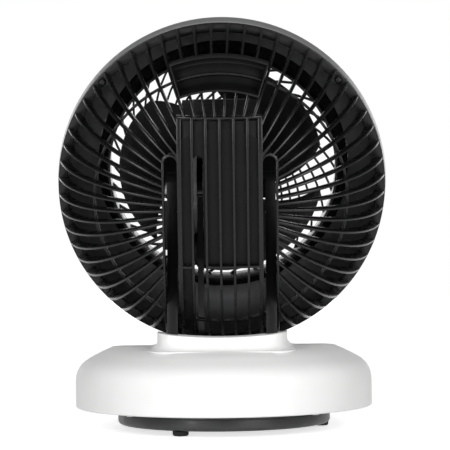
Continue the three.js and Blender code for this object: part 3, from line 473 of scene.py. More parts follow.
class Bench:
    """The moves that every sub-assembly is modelled with, each a few of the modeller's own."""

    @staticmethod
    def pick(*pieces: Piece) -> None:
        """Selects these pieces only, the first one active.

        Args:
            pieces: The pieces.
        """
        bpy.ops.object.select_all(action="DESELECT")
        for piece in pieces:
            piece.select_set(True)
        bpy.context.view_layer.objects.active = pieces[0]

    @staticmethod
    def edit() -> None:
        """Goes into edit mode with everything selected."""
        bpy.ops.object.mode_set(mode="EDIT")
        bpy.ops.mesh.select_all(action="SELECT")

    @staticmethod
    def leave() -> Piece:
        """Goes back to object mode and gives the piece that was edited."""
        bpy.ops.object.mode_set(mode="OBJECT")
        return bpy.context.object

    @classmethod
    def draw(cls, points: Sequence[Vector], filled: bool = False) -> None:
        """Draws a chain of edges in a new piece and stays in edit mode, all selected.

        Args:
            points: The chain's points, in metres.
            filled: Whether the chain is closed into a face.
        """
        bpy.ops.object.select_all(action="DESELECT")
        bpy.ops.mesh.primitive_plane_add(size=MM, location=(0, 0, 0))
        cls.edit()
        bpy.ops.mesh.merge(type="CENTER")
        bpy.ops.transform.translate(value=points[0])
        for here, there in pairwise(points):
            bpy.ops.mesh.extrude_vertices_move(TRANSFORM_OT_translate={"value": there - here})
        bpy.ops.mesh.select_all(action="SELECT")
        if filled:
            bpy.ops.mesh.edge_face_add()

    @staticmethod
    def tidy() -> None:
        """Merges doubles and points the faces outwards, in edit mode."""
        bpy.ops.mesh.select_all(action="SELECT")
        bpy.ops.mesh.remove_doubles(threshold=MERGE_DISTANCE * MM)
        bpy.ops.mesh.normals_make_consistent(inside=False)

    @classmethod
    def lathe(cls, outline: Sequence[Point], steps: int = 96, axis: Axis = Axis.Y) -> Piece:
        """Spins an outline of (radius, height) points about an axis.

        Args:
            outline: The points. They close on the axis, or on themselves.
            steps: How many facets the round has.
            axis: The axis, along which the heights are.

        Returns:
            The piece.
        """
        stand: dict[Axis, Callable[[float, float], Vector]] = {
            Axis.X: lambda r, h: mm(h, r, 0),
            Axis.Y: lambda r, h: mm(r, h, 0),
            Axis.Z: lambda r, h: mm(r, 0, h),
        }
        points = [stand[axis](r, h) for r, h in outline]
        if outline[0][0] > 0:
            points.append(points[0])
        cls.draw(points)
        turn = stand[axis](0, 1 / MM)
        bpy.ops.mesh.spin(steps=steps, angle=2 * math.pi, center=(0, 0, 0), axis=turn)
        cls.tidy()
        return cls.leave()

    @classmethod
    def plate(cls, outline: Sequence[Vector], thickness: Vector) -> Piece:
        """Fills a flat outline and extrudes it by a thickness.

        Args:
            outline: The points, in metres, without a repeated last one.
            thickness: Direction and length of the extrusion, in metres.

        Returns:
            The piece.
        """
        cls.draw(outline, filled=True)
        bpy.ops.mesh.extrude_region_move(TRANSFORM_OT_translate={"value": thickness})
        cls.tidy()
        return cls.leave()

    @classmethod
    def turned_solid(
        cls, outline: Sequence[Point], start: float, sweep: float, steps: int
    ) -> Piece:
        """Spins a filled outline of (radius, y) points part of a turn about Y.

        Args:
            outline: The points.
            start: Where it starts, in degrees from +X towards +Z.
            sweep: How far it goes, in degrees.
            steps: How many facets that is.

        Returns:
            The piece, closed at both ends.
        """
        angle = math.radians(start)
        spoke = [mm(r * math.cos(angle), y, r * math.sin(angle)) for r, y in outline]
        cls.draw(spoke, filled=True)
        bpy.ops.mesh.spin(steps=steps, angle=math.radians(sweep), center=(0, 0, 0), axis=(0, 1, 0))
        cls.tidy()
        return cls.leave()

    @staticmethod
    def block(low: Vector, high: Vector) -> Piece:
        """Adds a block, to be bevelled or to cut with.

        Args:
            low: Its lowest corner, in metres.
            high: Its highest corner, in metres.

        Returns:
            The block.
        """
        bpy.ops.object.select_all(action="DESELECT")
        bpy.ops.mesh.primitive_cube_add(size=1, location=(low + high) / 2, scale=high - low)
        bpy.ops.object.transform_apply(location=True, rotation=True, scale=True)
        return bpy.context.object

    @classmethod
    def modify(cls, piece: Piece, kind: Change, **settings: object) -> Piece:
        """Adds a modifier and applies it.

        Args:
            piece: The piece.
            kind: The kind of modifier.
            settings: Its properties.

        Returns:
            The same piece.
        """
        cls.pick(piece)
        modifier = piece.modifiers.new(kind.value, kind.value)
        for key, value in settings.items():
            setattr(modifier, key, value)
        bpy.ops.object.modifier_apply(modifier=modifier.name)
        return piece

    @classmethod
    def round_edges(
        cls, piece: Piece, width: float, segments: int = 2, sharper_than: float = 35.0
    ) -> Piece:
        """Rounds the edges that turn more than an angle.

        Args:
            piece: The piece.
            width: The rounding, in millimetres.
            segments: How many facets the rounding has.
            sharper_than: The angle in degrees.

        Returns:
            The same piece.
        """
        return cls.modify(
            piece,
            Change.BEVEL,
            width=width * MM,
            segments=segments,
            limit_method="ANGLE",
            angle_limit=math.radians(sharper_than),
            miter_outer="MITER_ARC",
        )

    @classmethod
    def combine(cls, piece: Piece, tool: Piece, use: Tooling) -> Piece:
        """Cuts a piece with a tool, or adds the tool to it, and deletes the tool.

        Args:
            piece: The piece.
            tool: The tool.
            use: What the tool does.

        Returns:
            The same piece.
        """
        cls.modify(piece, Change.BOOLEAN, object=tool, operation=use.value, solver="EXACT")
        bpy.data.objects.remove(tool)
        return piece

    @classmethod
    def trim(cls, piece: Piece, at: Vector, normal: Vector) -> Piece:
        """Cuts away what lies beyond a plane and closes the cut.

        Args:
            piece: The piece.
            at: A point on the plane, in metres.
            normal: The plane's normal, towards what goes.

        Returns:
            The same piece.
        """
        cls.pick(piece)
        cls.edit()
        bpy.ops.mesh.bisect(
            plane_co=at, plane_no=normal.normalized(), clear_outer=True, use_fill=True
        )
        return cls.leave()

    @classmethod
    def copy(cls, piece: Piece, turn: Matrix) -> Piece:
        """Copies a piece, with a mesh of its own, and moves the copy.

        Args:
            piece: The piece.
            turn: How the copy moves.

        Returns:
            The copy.
        """
        cls.pick(piece)
        bpy.ops.object.duplicate(linked=False)
        twin = bpy.context.object
        twin.matrix_world = turn @ twin.matrix_world
        bpy.ops.object.transform_apply(location=True, rotation=True, scale=True)
        return twin

    @classmethod
    def repeat(cls, pattern: Piece, places: Iterable[Matrix]) -> list[Piece]:
        """Copies a pattern to several places and deletes the pattern.

        Args:
            pattern: The pattern.
            places: How each copy moves.

        Returns:
            The copies.
        """
        made = [cls.copy(pattern, place) for place in places]
        bpy.data.objects.remove(pattern)
        return made

    @classmethod
    def weld(cls, pieces: Iterable[Piece]) -> Piece:
        """Joins pieces into one object.

        Args:
            pieces: The pieces.

        Returns:
            The object.
        """
        cls.pick(*pieces)
        bpy.ops.object.join()
        return bpy.context.object


def about_axis(degrees: float) -> Matrix:
    """A turn about the head's axis, from +X towards +Z."""
    return Matrix.Rotation(-math.radians(degrees), 4, "Y")


def round_axis(angles: Iterable[float], distance: float = 0.0) -> list[Matrix]:
    """Places round the head's axis.

    Args:
        angles: Their angles in degrees, from +X towards +Z.
        distance: How far from the axis they are.

    Returns:
        The moves that take a pattern from the axis to each place.
    """
    out = Matrix.Translation(mm(distance, 0, 0))
    return [about_axis(angle) @ out for angle in angles]


def evenly(count: int) -> list[float]:
    """The angles in degrees that divide a full turn evenly."""
    return [360 / count * i for i in range(count)]


class Workshop:
    """Finishes pieces: names them, puts them in their place and dresses them."""

    def __init__(self) -> None:
        """Opens an empty workshop."""
        self.finishes = FinishBook()
        self.done: list[str] = []

    def fit(self, piece: Piece, name: str, node: str, dressing: Dressing) -> None:
        """Puts a finished piece on the object.

        Args:
            piece: The piece, in its sub-assembly's frame.
            name: Its name.
            node: The frame's node that it stands for.
            dressing: Its body, slot, finish and place.
        """
        piece.matrix_world = dressing.place.matrix() @ piece.matrix_world
        Bench.pick(piece)
        bpy.ops.object.transform_apply(location=True, rotation=True, scale=True)
        bpy.ops.object.shade_smooth_by_angle(angle=math.radians(SMOOTH_ANGLE))
        piece.name = piece.data.name = name
        piece.data.materials.clear()
        piece.data.materials.append(self.finishes.get(dressing.finish))
        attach(piece, dressing.body.value)
        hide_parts(node)
        self.done.append(name)
        faces = len(piece.data.polygons)
        log.info("%s: %d faces, rides on %s", name, faces, dressing.body.value)

    def fit_all(self, pieces: Iterable[Piece], name: str, node: str, dressing: Dressing) -> None:
        """Puts several pieces on, numbered from 1.

        Args:
            pieces: The pieces.
            name: What their names start with.
            node: What their nodes' names start with.
            dressing: What they share.
        """
        for i, piece in enumerate(pieces, 1):
            self.fit(piece, f"{name}_{i}", f"{node}_{i}", dressing)

    def dress(self, nodes: dict[str, Piece], names: Iterable[str], finish: Finish) -> None:
        """Gives nodes of the frame that stay in sight a better material.

        Args:
            nodes: All the nodes.
            names: Those to dress.
            finish: Their finish.
        """
        for name in names:
            nodes[name].data.materials.clear()
            nodes[name].data.materials.append(self.finishes.get(finish))
            log.info("%s keeps its shape, in %s", name, finish.value)


# ------------------------------------------------------------------ outlines
def bezier(start: Point, first: Point, second: Point, end: Point, steps: int) -> list[Point]:
    """Points along a cubic curve.

    Args:
        start: Where it starts.
        first: The handle of its start.
        second: The handle of its end.
        end: Where it ends.
        steps: How many stretches it is made of.

    Returns:
        The points, ends included.
    """
    points = []
    for i in range(steps + 1):
        t = i / steps
        shares = ((1 - t) ** 3, 3 * t * (1 - t) ** 2, 3 * t * t * (1 - t), t**3)
        points.append(
            tuple(
                sum(share * p[k] for share, p in zip(shares, (start, first, second, end)))
                for k in (0, 1)
            )
        )
    return points


def arc(centre: Point, radius: float, start: float, end: float, steps: int) -> list[Point]:
    """Points along an arc.

    Args:
        centre: Its centre.
        radius: Its radius.
        start: The angle where it starts, in degrees.
        end: The angle where it ends.
        steps: How many stretches it is made of.

    Returns:
        The points, ends included.
    """
    angles = [math.radians(start + (end - start) * i / steps) for i in range(steps + 1)]
    return [(centre[0] + radius * math.cos(a), centre[1] + radius * math.sin(a)) for a in angles]


def round_rectangle(low: Point, high: Point, corner: float, steps: int = 6) -> list[Point]:
    """The outline of a rectangle with round corners.

    Args:
        low: Its lowest corner.
        high: Its highest corner.
        corner: The radius of its corners.
        steps: How many stretches each corner is made of.

    Returns:
        The points, of which the last one repeats the first.
    """
    (x0, y0), (x1, y1) = low, high
    return [
        *arc((x1 - corner, y1 - corner), corner, 0, 90, steps),
        *arc((x0 + corner, y1 - corner), corner, 90, 180, steps),
        *arc((x0 + corner, y0 + corner), corner, 180, 270, steps),
        *arc((x1 - corner, y0 + corner), corner, 270, 360, steps),
    ]


@dataclass(frozen=True)
class Dome:
    """The curve of the rear guard, from its rim to its flat, in (distance from the axis, y)."""

    rim_radius: float = 141.2
    rim_back: float = -16.0
    rear_flat: float = 81.0
    flat_radius: float = 40.0
    start: Point = (8.0, 0.45)
    pull: float = 68.0

    def line(self, inset: float, steps: int = 18) -> list[Point]:
        """The curve, moved inwards.

        Args:
            inset: How far it is moved.
            steps: How many stretches it is made of.

        Returns:
            The points, from the rim to the flat.
        """
        depth = self.rear_flat - self.rim_back
        return bezier(
            (self.rim_radius - inset * 0.9, self.rim_back),
            (
                self.rim_radius - self.start[0] - inset,
                self.rim_back + depth * self.start[1] - inset * 0.5,
            ),
            (self.flat_radius + self.pull - inset * 0.6, self.rear_flat - inset),
            (self.flat_radius, self.rear_flat - inset),
            steps,
        )

    def depth(self, inset: float, distance: float) -> float:
        """How far back the curve is at a distance from the axis.

        Args:
            inset: How far the curve is moved inwards.
            distance: The distance from the axis.

        Returns:
            The y there.
        """
        line = self.line(inset)
        if distance <= line[-1][0]:
            return line[-1][1]
        if distance >= line[0][0]:
            return line[0][1]
        for (r0, y0), (r1, y1) in pairwise(line):
            if r1 <= distance:
                return y0 + (y1 - y0) * (distance - r0) / (r1 - r0)
        return line[-1][1]


# The bowl as the handle and the neck follow it. The fins start flatter at the rim.
PLAIN_DOME = Dome(start=(2.5, 0.6))


# ------------------------------------------------------------------ the head's rear half
@dataclass
class RearGuard:
    """The dome of fins behind the blades, with its panel bars, arm slots and screws."""

    dome: Dome = Dome()
    rim_thickness: float = 3.0
    rim_width: float = 7.8
    fin_count: int = 60
    fin_thickness: float = 2.0
    fin_depth: float = 9.0
    fin_foot: float = 10.0
    tie_radius: float = 107.0
    tie_size: float = 2.4
    bar_pitch: float = 11.6
    bars_each_side: int = 3
    bar_thickness: float = 2.0
    bar_over_cover: float = 4.2
    panel_top: float = 76.0
    panel_low: float = -50.0
    slot_width: float = 11.0
    slot_frame: float = 1.8
    slot_depth: float = 18.0
    slot_bar: float = 3.8
    slot_top: float = 43.5
    boss_radius: float = 4.4
    screw_length: float = 19.0
    edge: float = 0.45

    @property
    def front(self) -> float:
        """The front of the fins and the bars, just inside the flange round the rim."""
        return self.dome.rim_back - self.rim_thickness + 1

    @property
    def slot_inner(self) -> float:
        """The side of an arm's slot that is next to the panel."""
        return self.bars_each_side * self.bar_pitch + self.bar_thickness / 2

    @property
    def slot_outer(self) -> float:
        """The far side of an arm's slot."""
        return self.slot_inner + self.slot_width

    @property
    def slot_middle(self) -> float:
        """The middle of an arm's slot."""
        return (self.slot_inner + self.slot_outer) / 2

    @property
    def arch_level(self) -> float:
        """Where a slot's sides meet its arch."""
        return self.slot_top - self.slot_width / 2

    def fin_end(self, degrees: float) -> float:
        """How near the axis a fin comes before it meets a slot's frame or the panel.

        Args:
            degrees: The fin's direction, from +X towards +Z.

        Returns:
            The distance of its end from the axis.
        """
        across = abs(math.cos(math.radians(degrees)))
        up = math.sin(math.radians(degrees))
        at_slot = (self.slot_outer + self.slot_frame / 2) / across
        if at_slot * up < self.arch_level:
            return at_slot
        at_panel = (self.slot_inner - self.bar_thickness / 2) / across
        if at_panel * up < self.panel_top - 1:
            return max(at_panel, self.arch_end(across, up))
        return (self.panel_top - self.bar_thickness / 2) / up

    def arch_end(self, across: float, up: float) -> float:
        """Where a fin meets the arch of a slot.

        Args:
            across: The level part of the fin's direction.
            up: The upright part.

        Returns:
            The distance from the axis, or 0 where the fin passes above the arch.
        """
        radius = (self.slot_width + self.slot_frame) / 2
        along = self.slot_middle * across + self.arch_level * up
        aside = self.slot_middle * up - self.arch_level * across
        return along + math.sqrt(radius**2 - aside**2) if abs(aside) < radius else 0.0

    def whole_fin(self) -> Piece:
        """One fin at +X, from the rim to the flat, with rounded edges.

        Returns:
            The fin, as a pattern for the others.
        """
        front = self.front
        foot = self.dome.rim_radius - self.fin_foot
        inner = [p for p in self.dome.line(self.fin_depth)[1:] if p[0] < foot - 1]
        outline = [
            *self.dome.line(0.0),
            *reversed(inner),
            (foot, front + 6),
            (foot + 1, front),
            (self.dome.rim_radius - 1, front),
        ]
        half = self.fin_thickness / 2
        fin = Bench.plate([mm(r, y, -half) for r, y in outline], mm(0, 0, 2 * half))
        return Bench.round_edges(fin, self.edge)

    def fins(self) -> list[Piece]:
        """All the fins, each trimmed where it meets a slot's frame or the panel.

        Returns:
            The fins.
        """
        pattern, handle = self.whole_fin(), CarryHandle()
        made = []
        for i in range(self.fin_count):
            angle = 360 / self.fin_count * (i + 0.5)
            end = self.fin_end(angle)
            if end > self.dome.rim_radius - self.fin_foot:
                continue
            out = mm(math.cos(math.radians(angle)), 0, math.sin(math.radians(angle)))
            fin = Bench.trim(Bench.copy(pattern, about_axis(angle)), out * end, -out)
            if abs(angle - 90) < handle.half_angle + 1:
                fin = Bench.combine(fin, handle.room(0.2), Tooling.CUT)
            made.append(fin)
        bpy.data.objects.remove(pattern)
        return made

    def across(self, inset: float, x: float, low: float, high: float) -> list[Point]:
        """Where the dome crosses an upright plane.

        Args:
            inset: How far the dome's curve is moved inwards.
            x: Where the plane stands.
            low: The lowest z.
            high: The highest z.

        Returns:
            The points, in (y, z), from low to high.
        """
        below = [(y, -math.sqrt(r * r - x * x)) for r, y in self.dome.line(inset) if r > abs(x)]
        above = [(y, -z) for y, z in reversed(below)]
        start, end = ((self.dome.depth(inset, math.hypot(x, z)), z) for z in (low, high))
        return [start, *(p for p in below + above if low + 0.5 < p[1] < high - 0.5), end]

    def bar(
        self, x: float, thickness: float, top: float, backed: bool, depth: float = 0.0
    ) -> Piece:
        """An upright bar from the rim up to a height.

        Args:
            x: Where it stands.
            thickness: Its thickness.
            top: Its upper end.
            backed: Whether the housing backs it, so that it is shallower there.
            depth: How far it reaches into the dome, or 0 for as far as a fin.

        Returns:
            The bar.
        """
        depth = depth or self.fin_depth
        rim = -math.sqrt((self.dome.rim_radius - 1) ** 2 - x * x)
        foot = -math.sqrt((self.dome.rim_radius - self.fin_foot) ** 2 - x * x)
        front = self.front
        inside = self.across(depth, x, foot, top)
        if backed:
            inside = [
                *self.across(self.fin_depth, x, foot, self.panel_low),
                *self.across(self.bar_over_cover, x, self.panel_low, self.panel_top - 2),
                *self.across(self.fin_depth, x, self.panel_top - 2, top),
            ]
        outline = [
            (front, rim),
            *self.across(0.0, x, rim, top),
            *reversed(inside),
            (front, foot),
        ]
        half = thickness / 2
        made = Bench.plate([mm(x - half, y, z) for y, z in outline], mm(thickness, 0, 0))
        return Bench.round_edges(made, self.edge)

    def rail(self, start: float, end: float, top: float) -> Piece:
        """A level rail.

        Args:
            start: The x of its start.
            end: The x of its end.
            top: The height of its top.

        Returns:
            The rail.
        """
        middle = top - self.bar_thickness / 2
        steps = 8
        stations = [start + (end - start) * i / steps for i in range(steps + 1)]
        outline = [
            *[(x, self.dome.depth(0.0, math.hypot(x, middle))) for x in stations],
            *[(x, self.dome.depth(self.fin_depth, math.hypot(x, middle))) for x in stations[::-1]],
        ]
        low = top - self.bar_thickness
        made = Bench.plate([mm(x, y, low) for x, y in outline], mm(0, 0, self.bar_thickness))
        return Bench.round_edges(made, self.edge)

    def bars(self) -> list[Piece]:
        """The panel's bars and rails, and the frames of the two slots.

        Returns:
            The bars, with the rails last.
        """
        made = []
        for i in range(-self.bars_each_side, self.bars_each_side + 1):
            backed = abs(i) < self.bars_each_side
            if backed:
                at, thickness = i * self.bar_pitch, self.bar_thickness
            else:
                at = math.copysign(self.slot_inner - self.slot_bar / 2, i)
                thickness = self.slot_bar
            made.append(self.bar(at, thickness, self.panel_top, backed))
        frame = self.slot_outer + self.slot_frame / 2
        for side in (-1, 1):
            top = self.arch_level + 0.5
            made.append(self.bar(side * frame, self.slot_frame, top, False, self.slot_depth))
        end = self.slot_inner - 0.5
        for start, stop, top in (
            (-end, end, self.panel_top),
            (-end, self.bar_pitch, self.panel_low),
            (2 * self.bar_pitch, end, self.panel_low),
        ):
            made.append(self.rail(start, stop, top))
        return made

    def arch(self, side: int) -> Piece:
        """The arch over the top of an arm's slot.

        Args:
            side: 1 for the slot at +X, -1 for the other.

        Returns:
            The arch.
        """
        middle = (side * self.slot_middle, self.arch_level)
        inner = self.slot_width / 2
        outline = [
            *arc(middle, inner + self.slot_frame, 0, 180, 16),
            *arc(middle, inner, 180, 0, 16),
        ]
        ring = Bench.plate([mm(x, 40, z) for x, z in outline], mm(0, 60, 0))
        shell = [*self.dome.line(0.0), *reversed(self.dome.line(self.fin_depth))]
        ring = Bench.combine(ring, Bench.lathe(shell, 60), Tooling.KEEP)
        return Bench.round_edges(ring, 0.35, sharper_than=50)

    def rings(self) -> list[Piece]:
        """The flange round the rim, and the thin ring that ties the fins together inside.

        Returns:
            The flange and the ring.
        """
        front = self.dome.rim_back - self.rim_thickness
        outer, inner = self.dome.rim_radius + 0.4, self.dome.rim_radius - self.rim_width
        back = self.dome.rim_back
        flange = Bench.lathe([(inner, front), (outer, front), (outer, back), (inner, back)], 180)
        tie_back = self.dome.depth(self.fin_depth, self.tie_radius) + 0.5
        half = self.tie_size / 2
        tie = Bench.lathe(
            [
                (self.tie_radius - half, tie_back - self.tie_size),
                (self.tie_radius + half, tie_back - self.tie_size),
                (self.tie_radius + half, tie_back),
                (self.tie_radius - half, tie_back),
            ],
            180,
        )
        return [Bench.round_edges(flange, 0.8, 3), Bench.round_edges(tie, 0.4)]

    def bosses(self) -> list[Piece]:
        """The bosses that the screws sit on, each with a seat round its screw.

        Returns:
            The bosses.
        """
        front, back = self.dome.rim_back - self.rim_thickness + 0.2, self.dome.rim_back + 2
        hole = 1.9
        boss = Bench.lathe(
            [
                (hole, front),
                (self.boss_radius, front),
                (self.boss_radius, back),
                (self.boss_radius - 0.9, back),
                (self.boss_radius - 1.0, back - 0.5),
                (hole, back - 0.5),
            ],
            24,
        )
        Bench.round_edges(boss, 0.25)
        return Bench.repeat(boss, round_axis(SCREW_ANGLES, SCREW_ORBIT))

    def build(self, shop: Workshop) -> None:
        """Builds the guard and its screws, and fits them.

        Args:
            shop: The workshop that finishes the pieces.
        """
        parts = [
            *self.fins(),
            *self.bars(),
            self.arch(1),
            self.arch(-1),
            *self.rings(),
            *self.bosses(),
        ]
        dressing = Dressing(Body.HEAD, Slot.BLACK, Finish.GUARD_BLACK, HEAD_PLACE)
        shop.fit(Bench.weld(parts), "rear_grille", "rear_guard", dressing)
        screws = Bench.repeat(self.screw(), round_axis(SCREW_ANGLES, SCREW_ORBIT))
        dressing = Dressing(Body.HEAD, Slot.STEEL, Finish.BLACKENED_STEEL, HEAD_PLACE)
        shop.fit_all(screws, "rim_screw", "guard_screw", dressing)

    def screw(self) -> Piece:
        """A pan-head screw along Y with a cross recess.

        Returns:
            The screw, on the axis.
        """
        seat = self.dome.rim_back + 1.7
        screw = Bench.lathe(
            [
                (0, seat - self.screw_length),
                (1.5, seat - self.screw_length + 1),
                (1.5, seat),
                (3.1, seat),
                (3.1, seat + 0.9),
                (2.2, seat + 1.8),
                (0, seat + 2.1),
            ],
            24,
        )
        for turn in CROSSWISE:
            groove = Bench.block(mm(-2.2, seat + 1.1, -0.35), mm(2.2, seat + 4, 0.35))
            groove.matrix_world = about_axis(turn)
            screw = Bench.combine(screw, groove, Tooling.CUT)
        return screw


@dataclass
class CarryHandle:
    """The recess in the top of the dome that four fingers reach into."""

    dome: Dome = PLAIN_DOME
    inner: float = 97.9
    outer: float = 121.5
    half_angle: float = 20.0
    depth: float = 24.0
    outer_share: float = 0.6
    lean: float = 1.6
    wall: float = 2.0
    end_wall: float = 0.8
    facets: int = 40

    def room(self, gap: float) -> Piece:
        """The space that the fins leave free for the recess.

        Args:
            gap: How much wider it is than the recess.

        Returns:
            The space, as a tool to cut with.
        """
        back_inner, back_outer = (self.dome.depth(0.0, r) for r in (self.inner, self.outer))
        grow = self.wall + gap
        outline = [
            (self.inner - grow, back_inner + 12),
            (self.inner + self.lean - grow, back_inner - self.depth - grow),
            (self.outer + grow - 1, back_outer - self.depth * self.outer_share - grow),
            (self.outer + grow, back_outer + 12),
        ]
        half = self.half_angle + 0.3
        return Bench.turned_solid(outline, 90 - half, 2 * half, self.facets)

    def build(self, shop: Workshop) -> None:
        """Builds the pocket with its lips and its two end walls, and fits it.

        Args:
            shop: The workshop that finishes the pieces.
        """
        back_inner = self.dome.depth(0.0, self.inner)
        back_outer = self.dome.depth(0.0, self.outer)
        floor = back_outer - self.depth * self.outer_share
        w = self.wall
        foot = self.inner + self.lean
        pocket = [
            (self.inner, back_inner + 0.8),
            (foot - 0.9, back_inner - self.depth + 4.5),
            (foot + 1.5, back_inner - self.depth + 0.4),
            (self.outer - 6, floor + 3.2),
            (self.outer - 1.4, floor + 4.5),
            (self.outer, back_outer + 3.2),
        ]
        outside = [
            (self.outer + 2.4, back_outer + 1.6),
            (self.outer + w, back_outer),
            (self.outer + w - 1, floor - w),
            (foot - w, back_inner - self.depth - w),
            (self.inner - w, back_inner + 1),
        ]
        first = 90 - self.half_angle
        tub = Bench.turned_solid([*pocket, *outside], first, 2 * self.half_angle, self.facets)
        parts = [Bench.round_edges(tub, 0.6, 3)]
        whole = [pocket[0], *reversed(outside[:-1]), pocket[-1]]
        for start in (first, 90 + self.half_angle - self.end_wall):
            end = Bench.turned_solid(whole, start, self.end_wall, 2)
            parts.append(Bench.round_edges(end, 0.3))
        dressing = Dressing(Body.HEAD, Slot.BLACK, Finish.HANDLE_BLACK, HEAD_PLACE)
        shop.fit(Bench.weld(parts), "handle_recess", "carry_handle", dressing)


# ------------------------------------------------------------------ the head's front half
@dataclass
class FrontShroud:
    """The bowl-shaped side wall of the head, open at both ends."""

    waist_radius: float = 143.2
    waist_back: float = -38.0
    front: float = -112.0
    mouth_radius: float = 112.4
    rear: float = -19.3
    rear_radius: float = 141.2
    wall: float = 2.6

    def side(self, steps: int) -> list[Point]:
        """The outside, from the widest ring to the mouth.

        Args:
            steps: How many stretches it is made of.

        Returns:
            The points.
        """
        return bezier(
            (self.waist_radius, self.waist_back),
            (self.waist_radius - 2.5, self.waist_back - 28),
            (self.waist_radius - 12, self.front + 10),
            (self.mouth_radius + self.wall, self.front),
            steps,
        )

    def build(self, shop: Workshop) -> None:
        """Builds the wall with a bead round its rear edge and its screw towers, and fits it.

        Args:
            shop: The workshop that finishes the pieces.
        """
        steps = 28
        outside = self.side(steps)
        inside = [(r - self.wall, y + self.wall * i / steps) for i, (r, y) in enumerate(outside)]
        wall = Bench.lathe(
            [
                (self.rear_radius - self.wall, self.rear),
                (self.rear_radius, self.rear),
                (self.rear_radius + 0.7, self.rear - 1.2),
                (self.rear_radius + 0.9, self.rear - 4),
                *outside,
                (self.mouth_radius, self.front),
                *reversed(inside),
            ],
            180,
        )
        Bench.round_edges(wall, 0.35, sharper_than=50)
        tower = Bench.lathe(
            [(1.9, self.rear - 22), (4.2, self.rear - 22), (4.2, self.rear), (1.9, self.rear)], 24
        )
        towers = Bench.repeat(tower, round_axis(SCREW_ANGLES, SCREW_ORBIT))
        dressing = Dressing(Body.HEAD, Slot.GREY, Finish.SHROUD_GREY, HEAD_PLACE)
        shop.fit(Bench.weld([wall, *towers]), "side_shroud", "front_shroud", dressing)


@dataclass
class FrontGuard:
    """The front grille: a closed band and collar, a hub disc and spiral spokes between them."""

    face: float = -112.6
    collar_radius: float = 100.3
    collar_back: float = -86.0
    outer: float = 112.36
    wall: float = 2.6
    hub_radius: float = 33.0
    crown: float = 7.0
    spoke_count: int = 30
    spoke_width: float = 1.9
    spoke_depth: float = 4.5
    spoke_angle: float = 57.0

    def spoke(self) -> Piece:
        """One spoke along a spiral of a steady angle, from the hub to the band.

        Returns:
            The spoke, as a pattern for the others.
        """
        steps = 14
        lean = math.tan(math.radians(self.spoke_angle))
        points = []
        for i in range(steps + 1):
            along = i / steps
            r = self.hub_radius - 2 + (self.collar_radius + 3 - self.hub_radius) * along
            angle = lean * math.log(r / self.hub_radius)
            level = self.face + 0.6 - self.crown * (1 - along**2)
            points.append(mm(r * math.cos(angle), level, r * math.sin(angle)))
        Bench.draw(points)
        bpy.ops.mesh.extrude_region_move(
            TRANSFORM_OT_translate={"value": mm(0, self.spoke_depth, 0)}
        )
        Bench.tidy()
        ribbon = Bench.leave()
        Bench.modify(ribbon, Change.SOLIDIFY, thickness=self.spoke_width * MM, offset=0.0)
        return Bench.round_edges(ribbon, 0.4)

    def build(self, shop: Workshop) -> None:
        """Builds the guard and fits it.

        Args:
            shop: The workshop that finishes the pieces.
        """
        band = Bench.lathe(
            [
                (self.collar_radius, self.face),
                (self.outer, self.face),
                (self.outer, self.face + 2.6),
                (self.collar_radius + self.wall, self.face + 5.6),
                (self.collar_radius + self.wall, self.collar_back),
                (self.collar_radius, self.collar_back),
            ],
            160,
        )
        Bench.round_edges(band, 0.7, 3)
        lip = self.face - self.crown
        r = self.hub_radius
        hub = Bench.lathe(
            [
                (0, lip - 0.4),
                (r - 13, lip - 0.9),
                (r - 9, lip - 1.2),
                (r - 8, lip - 0.2),
                (r - 6.5, lip - 0.2),
                (r - 5.5, lip - 1.0),
                (r - 1, lip + 0.2),
                (r, lip + 1.4),
                (r, lip + self.spoke_depth + 0.6),
                (0, lip + self.spoke_depth + 0.6),
            ],
            96,
        )
        Bench.round_edges(hub, 0.3, sharper_than=25)
        spokes = Bench.repeat(self.spoke(), round_axis(evenly(self.spoke_count)))
        dressing = Dressing(Body.HEAD, Slot.BLACK, Finish.GUARD_BLACK, HEAD_PLACE)
        shop.fit(Bench.weld([band, hub, *spokes]), "spiral_guard", "front_guard", dressing)


